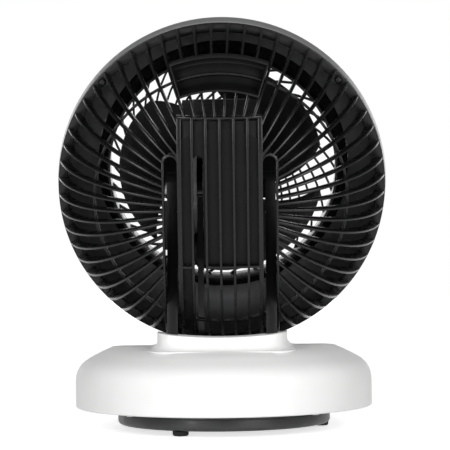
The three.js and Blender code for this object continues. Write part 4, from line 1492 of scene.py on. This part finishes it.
@dataclass
class BladeWheel:
    """Three wide blades on a cup-shaped hub, with the knob that holds them on the shaft.

    The spans and the sweep are angles in degrees. The sweep is that of a blade's middle, at its
    root and at its tip.
    """

    count: int = 3
    tip_radius: float = 92.3
    hub_radius: float = 30.0
    middle: float = -87.0
    thickness: float = 2.2
    span: float = 94.0
    root_span: float = 91.0
    sweep: tuple[float, float] = (38.0, -1.8)
    rise: float = 27.0
    camber: float = 3.2
    shaft_radius: float = 4.0
    flutes: int = 8

    @property
    def hub_front(self) -> float:
        """The front face of the hub."""
        return self.middle - self.rise / 2 - 1.5

    def chord(self, along: float, columns: int) -> list[Vector]:
        """A section of a blade, from one edge to the other.

        Args:
            along: Its place, from 0 at the root to 1 at the tip.
            columns: How many stretches it is made of.

        Returns:
            The points, in metres.
        """
        inner = self.hub_radius - 2
        span = math.radians(self.root_span + (self.span - self.root_span) * along)
        centre = math.radians(self.sweep[0] + (self.sweep[1] - self.sweep[0]) * along)
        points = []
        for j in range(columns + 1):
            u = j / columns - 0.5
            corner = 1 - 0.025 * along**6 * (2 * abs(u)) ** 3
            r = (inner + (self.tip_radius - inner) * along) * corner
            angle = u * span + centre
            lift = u * self.rise * (1 - 0.25 * along) - self.camber * (1 - 4 * u * u)
            points.append(mm(r * math.cos(angle), self.middle + lift, r * math.sin(angle)))
        return points

    def blade(self) -> Piece:
        """One blade, bridged from section to section and given its thickness.

        Returns:
            The blade, as a pattern for the others.
        """
        rows, columns = 8, 16
        sections = []
        for i in range(rows + 1):
            Bench.draw(self.chord(i / rows, columns))
            sections.append(Bench.leave())
        Bench.weld(sections)
        Bench.edit()
        bpy.ops.mesh.bridge_edge_loops()
        Bench.tidy()
        blade = Bench.leave()
        Bench.modify(blade, Change.SOLIDIFY, thickness=self.thickness * MM, offset=0.0)
        return Bench.round_edges(blade, 0.8, 3, sharper_than=50)

    def hub(self) -> Piece:
        """The cup that carries the blades, with a rounded front edge.

        Returns:
            The cup.
        """
        r, front, back = self.hub_radius, self.hub_front, self.middle + self.rise / 2 + 1.5
        bore = self.shaft_radius + RUNNING_GAP
        cup = Bench.lathe(
            [
                (bore, front),
                (r - 6, front),
                (r - 1.8, front + 1.4),
                (r, front + 5),
                (r, back),
                (r - 2.6, back),
                (r - 2.6, front + 6),
                (9, front + 2.6),
                (9, back - 6),
                (bore, back - 6),
            ],
            96,
        )
        return Bench.round_edges(cup, 0.5, 3, sharper_than=30)

    def knob(self) -> Piece:
        """The knob on the shaft's end, with finger flutes round it.

        Returns:
            The knob.
        """
        front = self.hub_front
        knob = Bench.lathe(
            [
                (4.3, front - 5.2),
                (6, front - 6),
                (8, front - 5.4),
                (9, front - 4),
                (9, front - 0.3),
                (4.3, front - 0.3),
            ],
            48,
        )
        for place in round_axis(evenly(self.flutes), 9.5):
            flute = Bench.lathe(
                [(0, front - 8), (1.1, front - 8), (1.1, front - 1), (0, front - 1)], 12
            )
            flute.matrix_world = place
            knob = Bench.combine(knob, flute, Tooling.CUT)
        return Bench.round_edges(knob, 0.25, sharper_than=50)

    def build(self, shop: Workshop) -> None:
        """Builds the wheel and its knob, and fits them.

        Args:
            shop: The workshop that finishes the pieces.
        """
        blades = Bench.repeat(self.blade(), round_axis(evenly(self.count)))
        dressing = Dressing(Body.BLADE, Slot.GLOSS_BLACK, Finish.BLADE_BLACK, HEAD_PLACE)
        shop.fit(Bench.weld([self.hub(), *blades]), "blade_wheel", "fan_blade", dressing)
        dressing = Dressing(Body.BLADE, Slot.BLACK, Finish.GUARD_BLACK, HEAD_PLACE)
        shop.fit(self.knob(), "wheel_knob", "blade_nut", dressing)


# ------------------------------------------------------------------ arms
@dataclass
class Arms:
    """The two arms that carry the head, and the pins that it tilts on."""

    centre: float = 42.0
    thickness: float = 9.0
    eye_radius: float = 15.0
    front: float = -14.0
    waist: Point = (38.0, -84.0)
    foot_back: float = 50.0
    neck_level: float = -124.5
    bottom: float = -184.2
    pin_radius: float = 4.7
    pin_head: float = 7.5
    flange: float = 12.0
    flange_height: float = 4.0
    rib: float = 2.1
    rib_half: float = 11.0
    rib_levels: Point = (-52.0, -10.0)
    groove_levels: Point = (-20.5, -19.0)
    groove_depth: float = 0.9

    def outline(self) -> list[Point]:
        """The arm's outline in (y, z), from the tilt axis.

        Returns:
            The points, of which the last closes on the first.
        """
        r = self.eye_radius
        angle = math.radians(20)
        shoulder = (r * math.cos(angle), r * math.sin(angle))
        waist = self.waist
        return [
            *arc((0, 0), r, 180, 20, 24),
            *bezier(shoulder, (r + 3, -32), (waist[0] - 14, waist[1] + 26), waist, 18)[1:],
            *bezier(
                waist,
                (waist[0] + 6, waist[1] - 12),
                (self.foot_back - 2, self.neck_level + 16),
                (self.foot_back, self.neck_level),
                8,
            )[1:],
            (self.foot_back, self.bottom),
            (self.front, self.bottom),
        ]

    def arm(self) -> Piece:
        """The arm at +X: a plate with a rib outside, a groove inside and a foot flange.

        Returns:
            The arm.
        """
        inner = self.centre - self.thickness / 2
        plate = Bench.plate([mm(inner, y, z) for y, z in self.outline()], mm(self.thickness, 0, 0))
        foot = Bench.block(
            mm(inner - self.flange, self.front, self.bottom),
            mm(inner + 1, self.foot_back, self.bottom + self.flange_height),
        )
        plate = Bench.combine(plate, foot, Tooling.ADD)
        outer = inner + self.thickness
        low, high = self.rib_levels
        rib = Bench.block(
            mm(outer - 1, -self.rib_half, low), mm(outer + self.rib, self.rib_half, high)
        )
        plate = Bench.combine(plate, rib, Tooling.ADD)
        low, high = self.groove_levels
        groove = Bench.block(
            mm(inner - 1, self.front - 1, low), mm(inner + self.groove_depth, 60, high)
        )
        plate = Bench.combine(plate, groove, Tooling.CUT)
        r = self.pin_radius + RUNNING_GAP
        bore = Bench.lathe([(0, 0), (r, 0), (r, 90), (0, 90)], 40, Axis.X)
        plate = Bench.combine(plate, bore, Tooling.CUT)
        return Bench.round_edges(plate, 0.9, 3, sharper_than=40)

    def pin(self) -> Piece:
        """The pin at +X, its domed head with a cross recess.

        Returns:
            The pin.
        """
        start = self.centre + self.thickness / 2 + RUNNING_GAP
        pin = Bench.lathe(
            [
                (0, 27.5),
                (self.pin_radius - 0.4, 27.5),
                (self.pin_radius, 28),
                (self.pin_radius, start),
                (self.pin_head, start),
                (self.pin_head, start + 1),
                (self.pin_head - 1.2, start + 1.9),
                (0, start + 2.2),
            ],
            48,
            Axis.X,
        )
        for size in ((0.45, 3.2), (3.2, 0.45)):
            groove = Bench.block(mm(start + 1, -size[0], -size[1]), mm(start + 5, size[0], size[1]))
            pin = Bench.combine(pin, groove, Tooling.CUT)
        return Bench.round_edges(pin, 0.15, sharper_than=50)

    def build(self, shop: Workshop) -> None:
        """Builds the arms and their pins, and fits them.

        Args:
            shop: The workshop that finishes the pieces.
        """
        level = Place(0.0, HEAD_PLACE.at)
        across = Matrix.Scale(-1, 4, (1, 0, 0))
        arm = Dressing(Body.BASE, Slot.BLACK, Finish.HANDLE_BLACK, level)
        pin = Dressing(Body.HEAD, Slot.STEEL, Finish.TURNED_STEEL, HEAD_PLACE)
        for pattern, name, node, dressing in (
            (self.arm(), "support_arm", "arm", arm),
            (self.pin(), "tilt_pin", "pivot_pin", pin),
        ):
            twin = Bench.copy(pattern, across)
            Bench.edit()
            bpy.ops.mesh.normals_make_consistent(inside=False)
            Bench.leave()
            for piece, side in ((pattern, "left"), (twin, "right")):
                shop.fit(piece, f"{name}_{side}", f"{node}_{side}", dressing)


# ------------------------------------------------------------------ base and foot
@dataclass
class BaseHousing:
    """The white base: a round drum with a soft shoulder, a sloping front and a neck.

    The neck's top sags along a cylinder, given by its radius and its lowest level. Each slot is
    given by its middle, its width and the y where it starts and ends, and each recess for the
    controls by two corners, the radius of its corners and its depth.
    """

    radius: float = 128.0
    bottom: float = 19.3
    shoulder_radius: float = 88.0
    shoulder_height: float = 41.0
    top: float = 71.0
    crease: Point = (105.0, 66.6)
    facet_start: float = -8.0
    neck_half: tuple[float, float] = (55.0, 50.0)
    neck_middle: float = 30.0
    neck_corner: float = 18.0
    neck_top: float = 87.0
    neck_sag: Point = (405.0, 82.3)
    sag_reach: Point = (-30.0, 110.0)
    fillet: float = 8.0
    wall: float = 2.6
    head_clearance: float = 3.0
    lowest_tilt: float = 5.0
    slots: tuple[tuple[float, float, float, float], ...] = (
        (42.3, 8.8, -3.7, 61.7),
        (-42.3, 8.8, -3.7, 61.7),
        (18.15, 6.4, 4.3, 27.7),
    )
    recesses: tuple[tuple[Point, Point, float, float], ...] = (
        ((-56.3, -15.3), (56.3, 15.3), 4.3, 1.4),
        ((-53.0, -12.0), (53.0, 12.0), 2.0, 8.6),
    )

    def drum(self, inset: float, bottom: float) -> Piece:
        """The round part, with its front sliced to a slope.

        Args:
            inset: How far its faces are moved inwards.
            bottom: The level of its underside.

        Returns:
            The solid drum.
        """
        reach = self.radius - self.shoulder_radius - inset
        rise = self.top - self.shoulder_height - inset
        crease = (self.crease[0] - inset, self.crease[1] - inset)
        shoulder = bezier(
            (self.radius - inset, self.shoulder_height),
            (self.radius - inset, self.shoulder_height + rise * 0.55),
            (crease[0] + reach * 0.28, crease[1] - rise * 0.2),
            crease,
            16,
        )
        outline = [
            (0, bottom),
            (self.radius - inset - 0.8, bottom),
            (self.radius - inset, bottom + 0.8),
            *shoulder,
            (crease[0] - 1.2, crease[1] + 0.45),
            (self.shoulder_radius + 9, self.top - inset - 0.9),
            (self.shoulder_radius, self.top - inset),
            (self.shoulder_radius / 2, self.top - inset),
            (0, self.top - inset),
        ]
        drum = Bench.lathe(outline, 144, Axis.Z)
        slope = math.radians(FACET_ANGLE)
        at = mm(0, self.facet_start, self.top - inset / math.cos(slope))
        return Bench.trim(drum, at, Vector((0, -math.sin(slope), math.cos(slope))))

    def neck(self, inset: float) -> Piece:
        """The neck, with a hollow fillet round its foot and a rolled top edge.

        Args:
            inset: How far its faces are moved inwards.

        Returns:
            The solid neck.
        """
        half_x, half_y = self.neck_half
        grow = [(self.fillet, self.shoulder_height + 12)]
        for i in range(9):
            a = math.pi / 2 * i / 8
            grow.append(
                (self.fillet * (1 - math.sin(a)), self.top + self.fillet * (1 - math.cos(a)))
            )
        grow += [(0.0, self.neck_top - 1.4), (-0.5, self.neck_top - 0.5), (-1.4, self.neck_top)]
        first, level = grow[0]
        first -= inset
        ring = round_rectangle(
            (-half_x - first, self.neck_middle - half_y - first),
            (half_x + first, self.neck_middle + half_y + first),
            self.neck_corner + first,
            10,
        )[:-1]
        Bench.draw([mm(x, y, level - inset) for x, y in ring], filled=True)
        for (g0, z0), (g1, z1) in pairwise(grow):
            bpy.ops.mesh.extrude_region_move(TRANSFORM_OT_translate={"value": mm(0, 0, z1 - z0)})
            bpy.ops.transform.resize(
                value=(
                    (half_x + g1 - inset) / (half_x + g0 - inset),
                    (half_y + g1 - inset) / (half_y + g0 - inset),
                    1,
                ),
                center_override=mm(0, self.neck_middle, z1 - inset),
            )
        Bench.tidy()
        return Bench.leave()

    def head_room(self, clearance: float) -> Piece:
        """The room that the head needs with its nose at its lowest.

        Args:
            clearance: How far the head's outside is grown.

        Returns:
            The room, as a tool to cut with.
        """
        dome, shroud = PLAIN_DOME, FrontShroud()
        room = Bench.lathe(
            [
                (0, shroud.front - clearance),
                *[(r + clearance, y - clearance) for r, y in reversed(shroud.side(12))],
                (shroud.waist_radius + clearance, shroud.waist_back),
                *[(r + clearance, y + clearance) for r, y in dome.line(0.0)],
                (0, dome.rear_flat + clearance),
            ],
            144,
        )
        room.matrix_world = Place(-self.lowest_tilt, HEAD_PLACE.at).matrix()
        return room

    def solid(self, inset: float, bottom: float) -> Piece:
        """Drum and neck in one, hollowed where the head comes down.

        Args:
            inset: How far their faces are moved inwards.
            bottom: The level of the underside.

        Returns:
            The solid.
        """
        radius, low = self.neck_sag
        start, end = self.sag_reach
        scoop = Bench.lathe([(0, start), (radius, start), (radius, end), (0, end)], 360)
        scoop.matrix_world = Matrix.Translation(mm(0, 0, low - inset + radius))
        neck = Bench.combine(self.neck(inset), scoop, Tooling.CUT)
        whole = Bench.combine(self.drum(inset, bottom), neck, Tooling.ADD)
        return Bench.combine(whole, self.head_room(self.head_clearance + inset), Tooling.CUT)

    def build(self, shop: Workshop) -> None:
        """Builds the shell with its slots and its recess for the controls, and fits it.

        Args:
            shop: The workshop that finishes the pieces.
        """
        shell = Bench.combine(
            self.solid(0.0, self.bottom), self.solid(self.wall, self.bottom - 1), Tooling.CUT
        )
        for x, width, start, end in self.slots:
            slot = Bench.block(
                mm(x - width / 2, start, self.top - 12), mm(x + width / 2, end, self.neck_top + 5)
            )
            Bench.round_edges(slot, 1.2, 3)
            shell = Bench.combine(shell, slot, Tooling.CUT)
        for low, high, corner, depth in self.recesses:
            outline = round_rectangle(low, high, corner)[:-1]
            tool = Bench.plate([mm(x, y, -depth) for x, y in outline], mm(0, 0, depth + 5))
            tool.matrix_world = CONTROL_PLACE.matrix()
            shell = Bench.combine(shell, tool, Tooling.CUT)
        Bench.round_edges(shell, 0.5, 2, sharper_than=48)
        dressing = Dressing(Body.BASE, Slot.WHITE, Finish.SATIN_WHITE, UPRIGHT)
        shop.fit(shell, "base_housing", "base_shell", dressing)


@dataclass
class Foot:
    """The low dark disc that the base swings on, its three rubber feet and the power inlet."""

    radius: float = 91.7
    bottom: float = 4.3
    top: float = 18.6
    wall: float = 2.6
    floor: float = 7.3
    post_radius: float = 13.0
    post_top: float = 27.0
    screw_hole: float = 2.6
    pad_radius: float = 6.8
    pad_orbit: float = 84.0
    pad_angles: tuple[float, ...] = (65.0, 185.0, 305.0)
    jack_level: float = 12.4
    jack_radius: float = 4.0

    def dish(self) -> Piece:
        """The disc, hollow on top, with a post in its middle and an opening for the inlet.

        Returns:
            The disc.
        """
        r, z = self.radius, self.bottom
        dish = Bench.lathe(
            [
                (0, z),
                (r - 12, z),
                (r - 11, z + 0.5),
                (r - 9, z + 0.5),
                (r - 8, z),
                *arc((r - 3.2, z + 3.2), 3.2, 270, 360, 8),
                (r, self.top - 4.6),
                (r - 0.5, self.top - 4.2),
                (r - 0.5, self.top),
                (r - self.wall, self.top),
                (r - self.wall, self.floor),
                (self.post_radius, self.floor),
                (self.post_radius, self.post_top),
                (self.screw_hole, self.post_top),
                (self.screw_hole, self.floor + 2),
                (0, self.floor + 2),
            ],
            144,
            Axis.Z,
        )
        jack = self.jack_radius + RUNNING_GAP
        hole = Bench.lathe([(0, -120), (jack, -120), (jack, -50), (0, -50)], 40)
        hole.matrix_world = Matrix.Translation(mm(0, 0, self.jack_level))
        dish = Bench.combine(dish, hole, Tooling.CUT)
        return Bench.round_edges(dish, 0.3, 2, sharper_than=50)

    def pad(self) -> Piece:
        """One rubber foot with a groove in its sole.

        Returns:
            The foot, in the middle.
        """
        r, top = self.pad_radius, self.bottom - 0.3
        pad = Bench.lathe(
            [
                (0, 0.4),
                (2.6, 0.4),
                (3.0, 0),
                (r - 1.4, 0),
                (r - 0.4, 0.5),
                (r, 1.4),
                (r, top),
                (0, top),
            ],
            40,
            Axis.Z,
        )
        return Bench.round_edges(pad, 0.2, sharper_than=40)

    def build(self, shop: Workshop) -> None:
        """Builds the foot's pieces and fits them.

        Args:
            shop: The workshop that finishes the pieces.
        """
        dressing = Dressing(Body.FOOT, Slot.BLACK, Finish.FOOT_CHARCOAL, UPRIGHT)
        shop.fit(self.dish(), "foot_dish", "foot_plate", dressing)
        places = []
        for degrees in self.pad_angles:
            a = math.radians(degrees)
            shift = mm(self.pad_orbit * math.cos(a), self.pad_orbit * math.sin(a), 0)
            places.append(Matrix.Translation(shift))
        dressing = Dressing(Body.FOOT, Slot.RUBBER, Finish.RUBBER_BLACK, UPRIGHT)
        pads = Bench.repeat(self.pad(), places)
        shop.fit_all(pads, "rubber_pad", "rubber_foot", dressing)


# ------------------------------------------------------------------ controls
@dataclass
class Controls:
    """The glossy panel on the sloping front, its five buttons and its strip of lights."""

    half: Point = (56.0, 15.0)
    corner: float = 4.0
    proud: float = 0.3
    under: float = -1.1
    count: int = 5
    pitch: float = 19.0
    row: float = -3.5
    button_radius: float = 6.0
    button_top: float = 1.6
    lens_half: Point = (17.0, 2.0)
    lens_row: float = 8.5
    bead_pitch: float = 6.6
    post_radius: float = 2.6
    post_end: float = -8.3
    post_orbit: float = 49.0

    def panel(self) -> Piece:
        """The plate with its button holes, its window and its two posts.

        Returns:
            The plate.
        """
        x, y = self.half
        outline = round_rectangle((-x, -y), (x, y), self.corner)[:-1]
        plate = Bench.plate(
            [mm(*p, self.under) for p in outline], mm(0, 0, self.proud - self.under)
        )
        r = self.button_radius + RUNNING_GAP
        for i in range(self.count):
            hole = Bench.lathe([(0, -5), (r, -5), (r, 5), (0, 5)], 48, Axis.Z)
            hole.matrix_world = Matrix.Translation(mm(self.place(i), self.row, 0))
            plate = Bench.combine(plate, hole, Tooling.CUT)
        a, b = (h + RUNNING_GAP for h in self.lens_half)
        window = Bench.block(mm(-a, self.lens_row - b, -5), mm(a, self.lens_row + b, 5))
        plate = Bench.combine(plate, window, Tooling.CUT)
        r, top = self.post_radius, self.under + 0.2
        for side in (-1, 1):
            post = Bench.lathe(
                [(0, self.post_end), (r, self.post_end), (r, top), (0, top)], 16, Axis.Z
            )
            post.matrix_world = Matrix.Translation(mm(side * self.post_orbit, 0, 0))
            plate = Bench.combine(plate, post, Tooling.ADD)
        return Bench.round_edges(plate, 0.25, 2, sharper_than=50)

    def place(self, index: int) -> float:
        """The x of a button."""
        return (index - (self.count - 1) / 2) * self.pitch

    def button(self) -> Piece:
        """One button with a dished top and a flange below the panel.

        Returns:
            The button, as a pattern for the others.
        """
        r, top = self.button_radius, self.button_top
        under = self.under - RUNNING_GAP
        cap = Bench.lathe(
            [
                (0, under - 1.2),
                (r + 1, under - 1.2),
                (r + 1, under),
                (r, under),
                (r, top - 0.5),
                (r - 0.5, top),
                (r - 1.4, top - 0.1),
                (r - 3.5, top - 0.45),
                (0, top - 0.6),
            ],
            48,
            Axis.Z,
        )
        return Bench.round_edges(cap, 0.12, sharper_than=50)

    def lens(self) -> Piece:
        """The strip with a raised bead over each light.

        Returns:
            The strip.
        """
        a, b = self.lens_half
        under = self.under - 1.3
        strip = Bench.block(
            mm(-a, self.lens_row - b, under), mm(a, self.lens_row + b, self.proud - 0.1)
        )
        lip = Bench.block(
            mm(-a - 1.5, self.lens_row - b - 0.8, under),
            mm(a + 1.5, self.lens_row + b + 0.8, under + 1),
        )
        strip = Bench.combine(strip, lip, Tooling.ADD)
        for i in range(self.count):
            bead = Bench.lathe(
                [(0, -1), (1.0, -1), (1.0, 0.25), (0.7, 0.38), (0, 0.4)], 24, Axis.Z
            )
            x = (i - (self.count - 1) / 2) * self.bead_pitch
            bead.matrix_world = Matrix.Translation(mm(x, self.lens_row, 0))
            strip = Bench.combine(strip, bead, Tooling.ADD)
        return Bench.round_edges(strip, 0.15, sharper_than=50)

    def build(self, shop: Workshop) -> None:
        """Builds the controls and fits them.

        Args:
            shop: The workshop that finishes the pieces.
        """
        gloss = Dressing(Body.BASE, Slot.GLOSS_BLACK, Finish.GLOSS_BLACK, CONTROL_PLACE)
        milky = Dressing(Body.BASE, Slot.LENS, Finish.MILKY_LENS, CONTROL_PLACE)
        shop.fit(self.panel(), "touch_panel", "control_panel", gloss)
        shop.fit(self.lens(), "light_strip", "indicator_lens", milky)
        row = [mm(self.place(i), self.row, 0) for i in range(self.count)]
        caps = Bench.repeat(self.button(), [Matrix.Translation(shift) for shift in row])
        for i, cap in enumerate(caps, 1):
            body = Body(f"button_{i}")
            dressing = Dressing(body, Slot.GLOSS_BLACK, Finish.HANDLE_BLACK, CONTROL_PLACE)
            shop.fit(cap, f"push_button_{i}", f"button_{i}", dressing)


# ------------------------------------------------------------------ what stays, and the studio
KEPT: dict[Finish, tuple[str, ...]] = {
    Finish.HOUSING_BLACK: ("motor_housing", "cable_duct"),
    Finish.GLOSS_BLACK: ("tilt_sector",),
    Finish.SATIN_WHITE: ("base_floor",),
    Finish.SOLDER_GREEN: ("control_board",),
    Finish.ACETAL_WHITE: ("swing_gear", "swing_pinion", "tilt_pinion", "thrust_ring"),
    Finish.HANDLE_BLACK: ("power_jack",),
    Finish.TURNED_STEEL: ("motor_shaft", "pivot_screw", "pivot_washer"),
    Finish.ZINC_STEEL: (
        "motor_plate",
        "motor_can",
        "tilt_motor",
        "swing_motor",
        *(f"floor_screw_{i}" for i in range(1, 5)),
        *(f"arm_screw_{i}" for i in range(1, 6)),
    ),
}


@dataclass(frozen=True)
class Softbox:
    """A rectangular lamp that faces the middle of the object. Its sizes are in metres."""

    name: str
    at: tuple[float, float, float]
    size: Point
    power: float
    aim: tuple[float, float, float] = (0.0, 0.0, 0.2)

    def hang(self) -> None:
        """Adds the lamp to the scene."""
        data = bpy.data.lights.new(self.name, "AREA")
        data.shape = "RECTANGLE"
        data.size, data.size_y = self.size
        data.energy = self.power
        lamp = bpy.data.objects.new(self.name, data)
        bpy.context.scene.collection.objects.link(lamp)
        lamp.location = self.at
        aim = Vector(self.aim) - lamp.location
        lamp.rotation_mode = "QUATERNION"
        lamp.rotation_quaternion = aim.to_track_quat("-Z", "Y")


@dataclass
class Studio:
    """The camera behind the object, a pale floor and soft light, in metres and degrees."""

    distance: float = 2.4
    height: float = 0.231
    sideways: float = -0.035
    yaw: float = 0.774
    down: float = 1.34
    roll: float = -0.62
    lens: float = 222.0
    world_light: float = 0.16
    floor_size: float = 4.4
    floor_level: float = -0.0002
    floor_glow: float = 0.68
    softboxes: tuple[Softbox, ...] = (
        Softbox("left_softbox", (1.35, 2.2, 0.9), (1.0, 1.6), 40.0),
        Softbox("right_softbox", (-1.35, 2.2, 0.9), (1.0, 1.6), 40.0),
        Softbox("top_softbox", (0.0, 1.2, 2.0), (1.6, 1.2), 2.0),
        Softbox("front_softbox", (0.0, -2.5, 0.42), (3.4, 0.8), 16.0),
    )

    def camera(self) -> None:
        """Makes the camera, a little to one side and level with the middle of the head."""
        data = bpy.data.cameras.new("photo_camera")
        data.lens = self.lens
        data.sensor_width = 36.0
        data.clip_start, data.clip_end = 0.05, 50.0
        camera = bpy.data.objects.new("photo_camera", data)
        bpy.context.scene.collection.objects.link(camera)
        turn = Matrix.Rotation(math.pi + math.radians(self.yaw), 4, "Z")
        look = Matrix.Rotation(math.radians(90 - self.down), 4, "X")
        lean = Matrix.Rotation(math.radians(self.roll), 4, "Z")
        place = Matrix.Translation((self.sideways, self.distance, self.height))
        camera.matrix_world = place @ turn @ look @ lean
        bpy.context.scene.camera = camera

    def only_seen(self, tree: bpy.types.NodeTree) -> bpy.types.NodeSocket:
        """Where the camera, a reflection or a lens sees a surface.

        Args:
            tree: The material's node tree.

        Returns:
            A value of 1 there, and of 0 elsewhere.
        """
        path = tree.nodes.new("ShaderNodeLightPath")
        total = path.outputs["Is Camera Ray"]
        for name in ("Is Glossy Ray", "Is Transmission Ray"):
            add = tree.nodes.new("ShaderNodeMath")
            add.operation = "MAXIMUM"
            tree.links.new(total, add.inputs[0])
            tree.links.new(path.outputs[name], add.inputs[1])
            total = add.outputs[0]
        return total

    def world(self) -> None:
        """A white world for the eye, and a softer one for the light."""
        world = bpy.data.worlds.new("studio_world")
        bpy.context.scene.world = world
        world.use_nodes = True
        tree = world.node_tree
        tree.nodes.clear()
        seen = tree.nodes.new("ShaderNodeBackground")
        seen.inputs["Color"].default_value = (1, 1, 1, 1)
        light = tree.nodes.new("ShaderNodeBackground")
        light.inputs["Color"].default_value = (1, 1, 1, 1)
        light.inputs["Strength"].default_value = self.world_light
        path = tree.nodes.new("ShaderNodeLightPath")
        mix = tree.nodes.new("ShaderNodeMixShader")
        output = tree.nodes.new("ShaderNodeOutputWorld")
        tree.links.new(path.outputs["Is Camera Ray"], mix.inputs["Fac"])
        tree.links.new(light.outputs["Background"], mix.inputs[1])
        tree.links.new(seen.outputs["Background"], mix.inputs[2])
        tree.links.new(mix.outputs["Shader"], output.inputs["Surface"])

    def floor(self) -> None:
        """A white floor that keeps the object's shadow."""
        bpy.ops.object.select_all(action="DESELECT")
        bpy.ops.mesh.primitive_plane_add(size=self.floor_size, location=(0, 0, self.floor_level))
        floor = bpy.context.object
        floor.name = "studio_floor"
        shader = Shader("studio_floor")
        fleck = shader.tint(shader.noise(3.0), (0.9, 0.9, 0.9), (0.92, 0.92, 0.92))
        shader.link(fleck, shader.surface.inputs["Base Color"])
        shader.surface.inputs["Roughness"].default_value = 0.8
        shader.surface.inputs["Specular IOR Level"].default_value = 0.2
        shader.surface.inputs["Emission Color"].default_value = (1, 1, 1, 1)
        seen = self.only_seen(shader.tree)
        share = shader.node("ShaderNodeMath", operation="MULTIPLY")
        share.inputs[1].default_value = self.floor_glow
        shader.link(seen, share.inputs[0])
        shader.link(share.outputs[0], shader.surface.inputs["Emission Strength"])
        floor.data.materials.append(shader.material)

    def build(self) -> None:
        """Sets the studio up."""
        bpy.context.scene.view_settings.view_transform = "Standard"
        self.world()
        self.floor()
        for softbox in self.softboxes:
            softbox.hang()


def main() -> None:
    """Builds the studio and the object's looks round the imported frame."""
    logging.basicConfig(level=logging.INFO, format="%(name)s: %(message)s")
    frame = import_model()
    studio = Studio()
    studio.camera()
    shop = Workshop()
    for assembly in (
        RearGuard(),
        CarryHandle(),
        FrontShroud(),
        FrontGuard(),
        BladeWheel(),
        Arms(),
        BaseHousing(),
        Foot(),
        Controls(),
    ):
        assembly.build(shop)
    for finish, names in KEPT.items():
        shop.dress(frame["nodes"], names, finish)
    studio.build()
    bpy.context.view_layer.update()
    log.info("%d pieces made", len(shop.done))


if __name__ == "__main__":
    main()
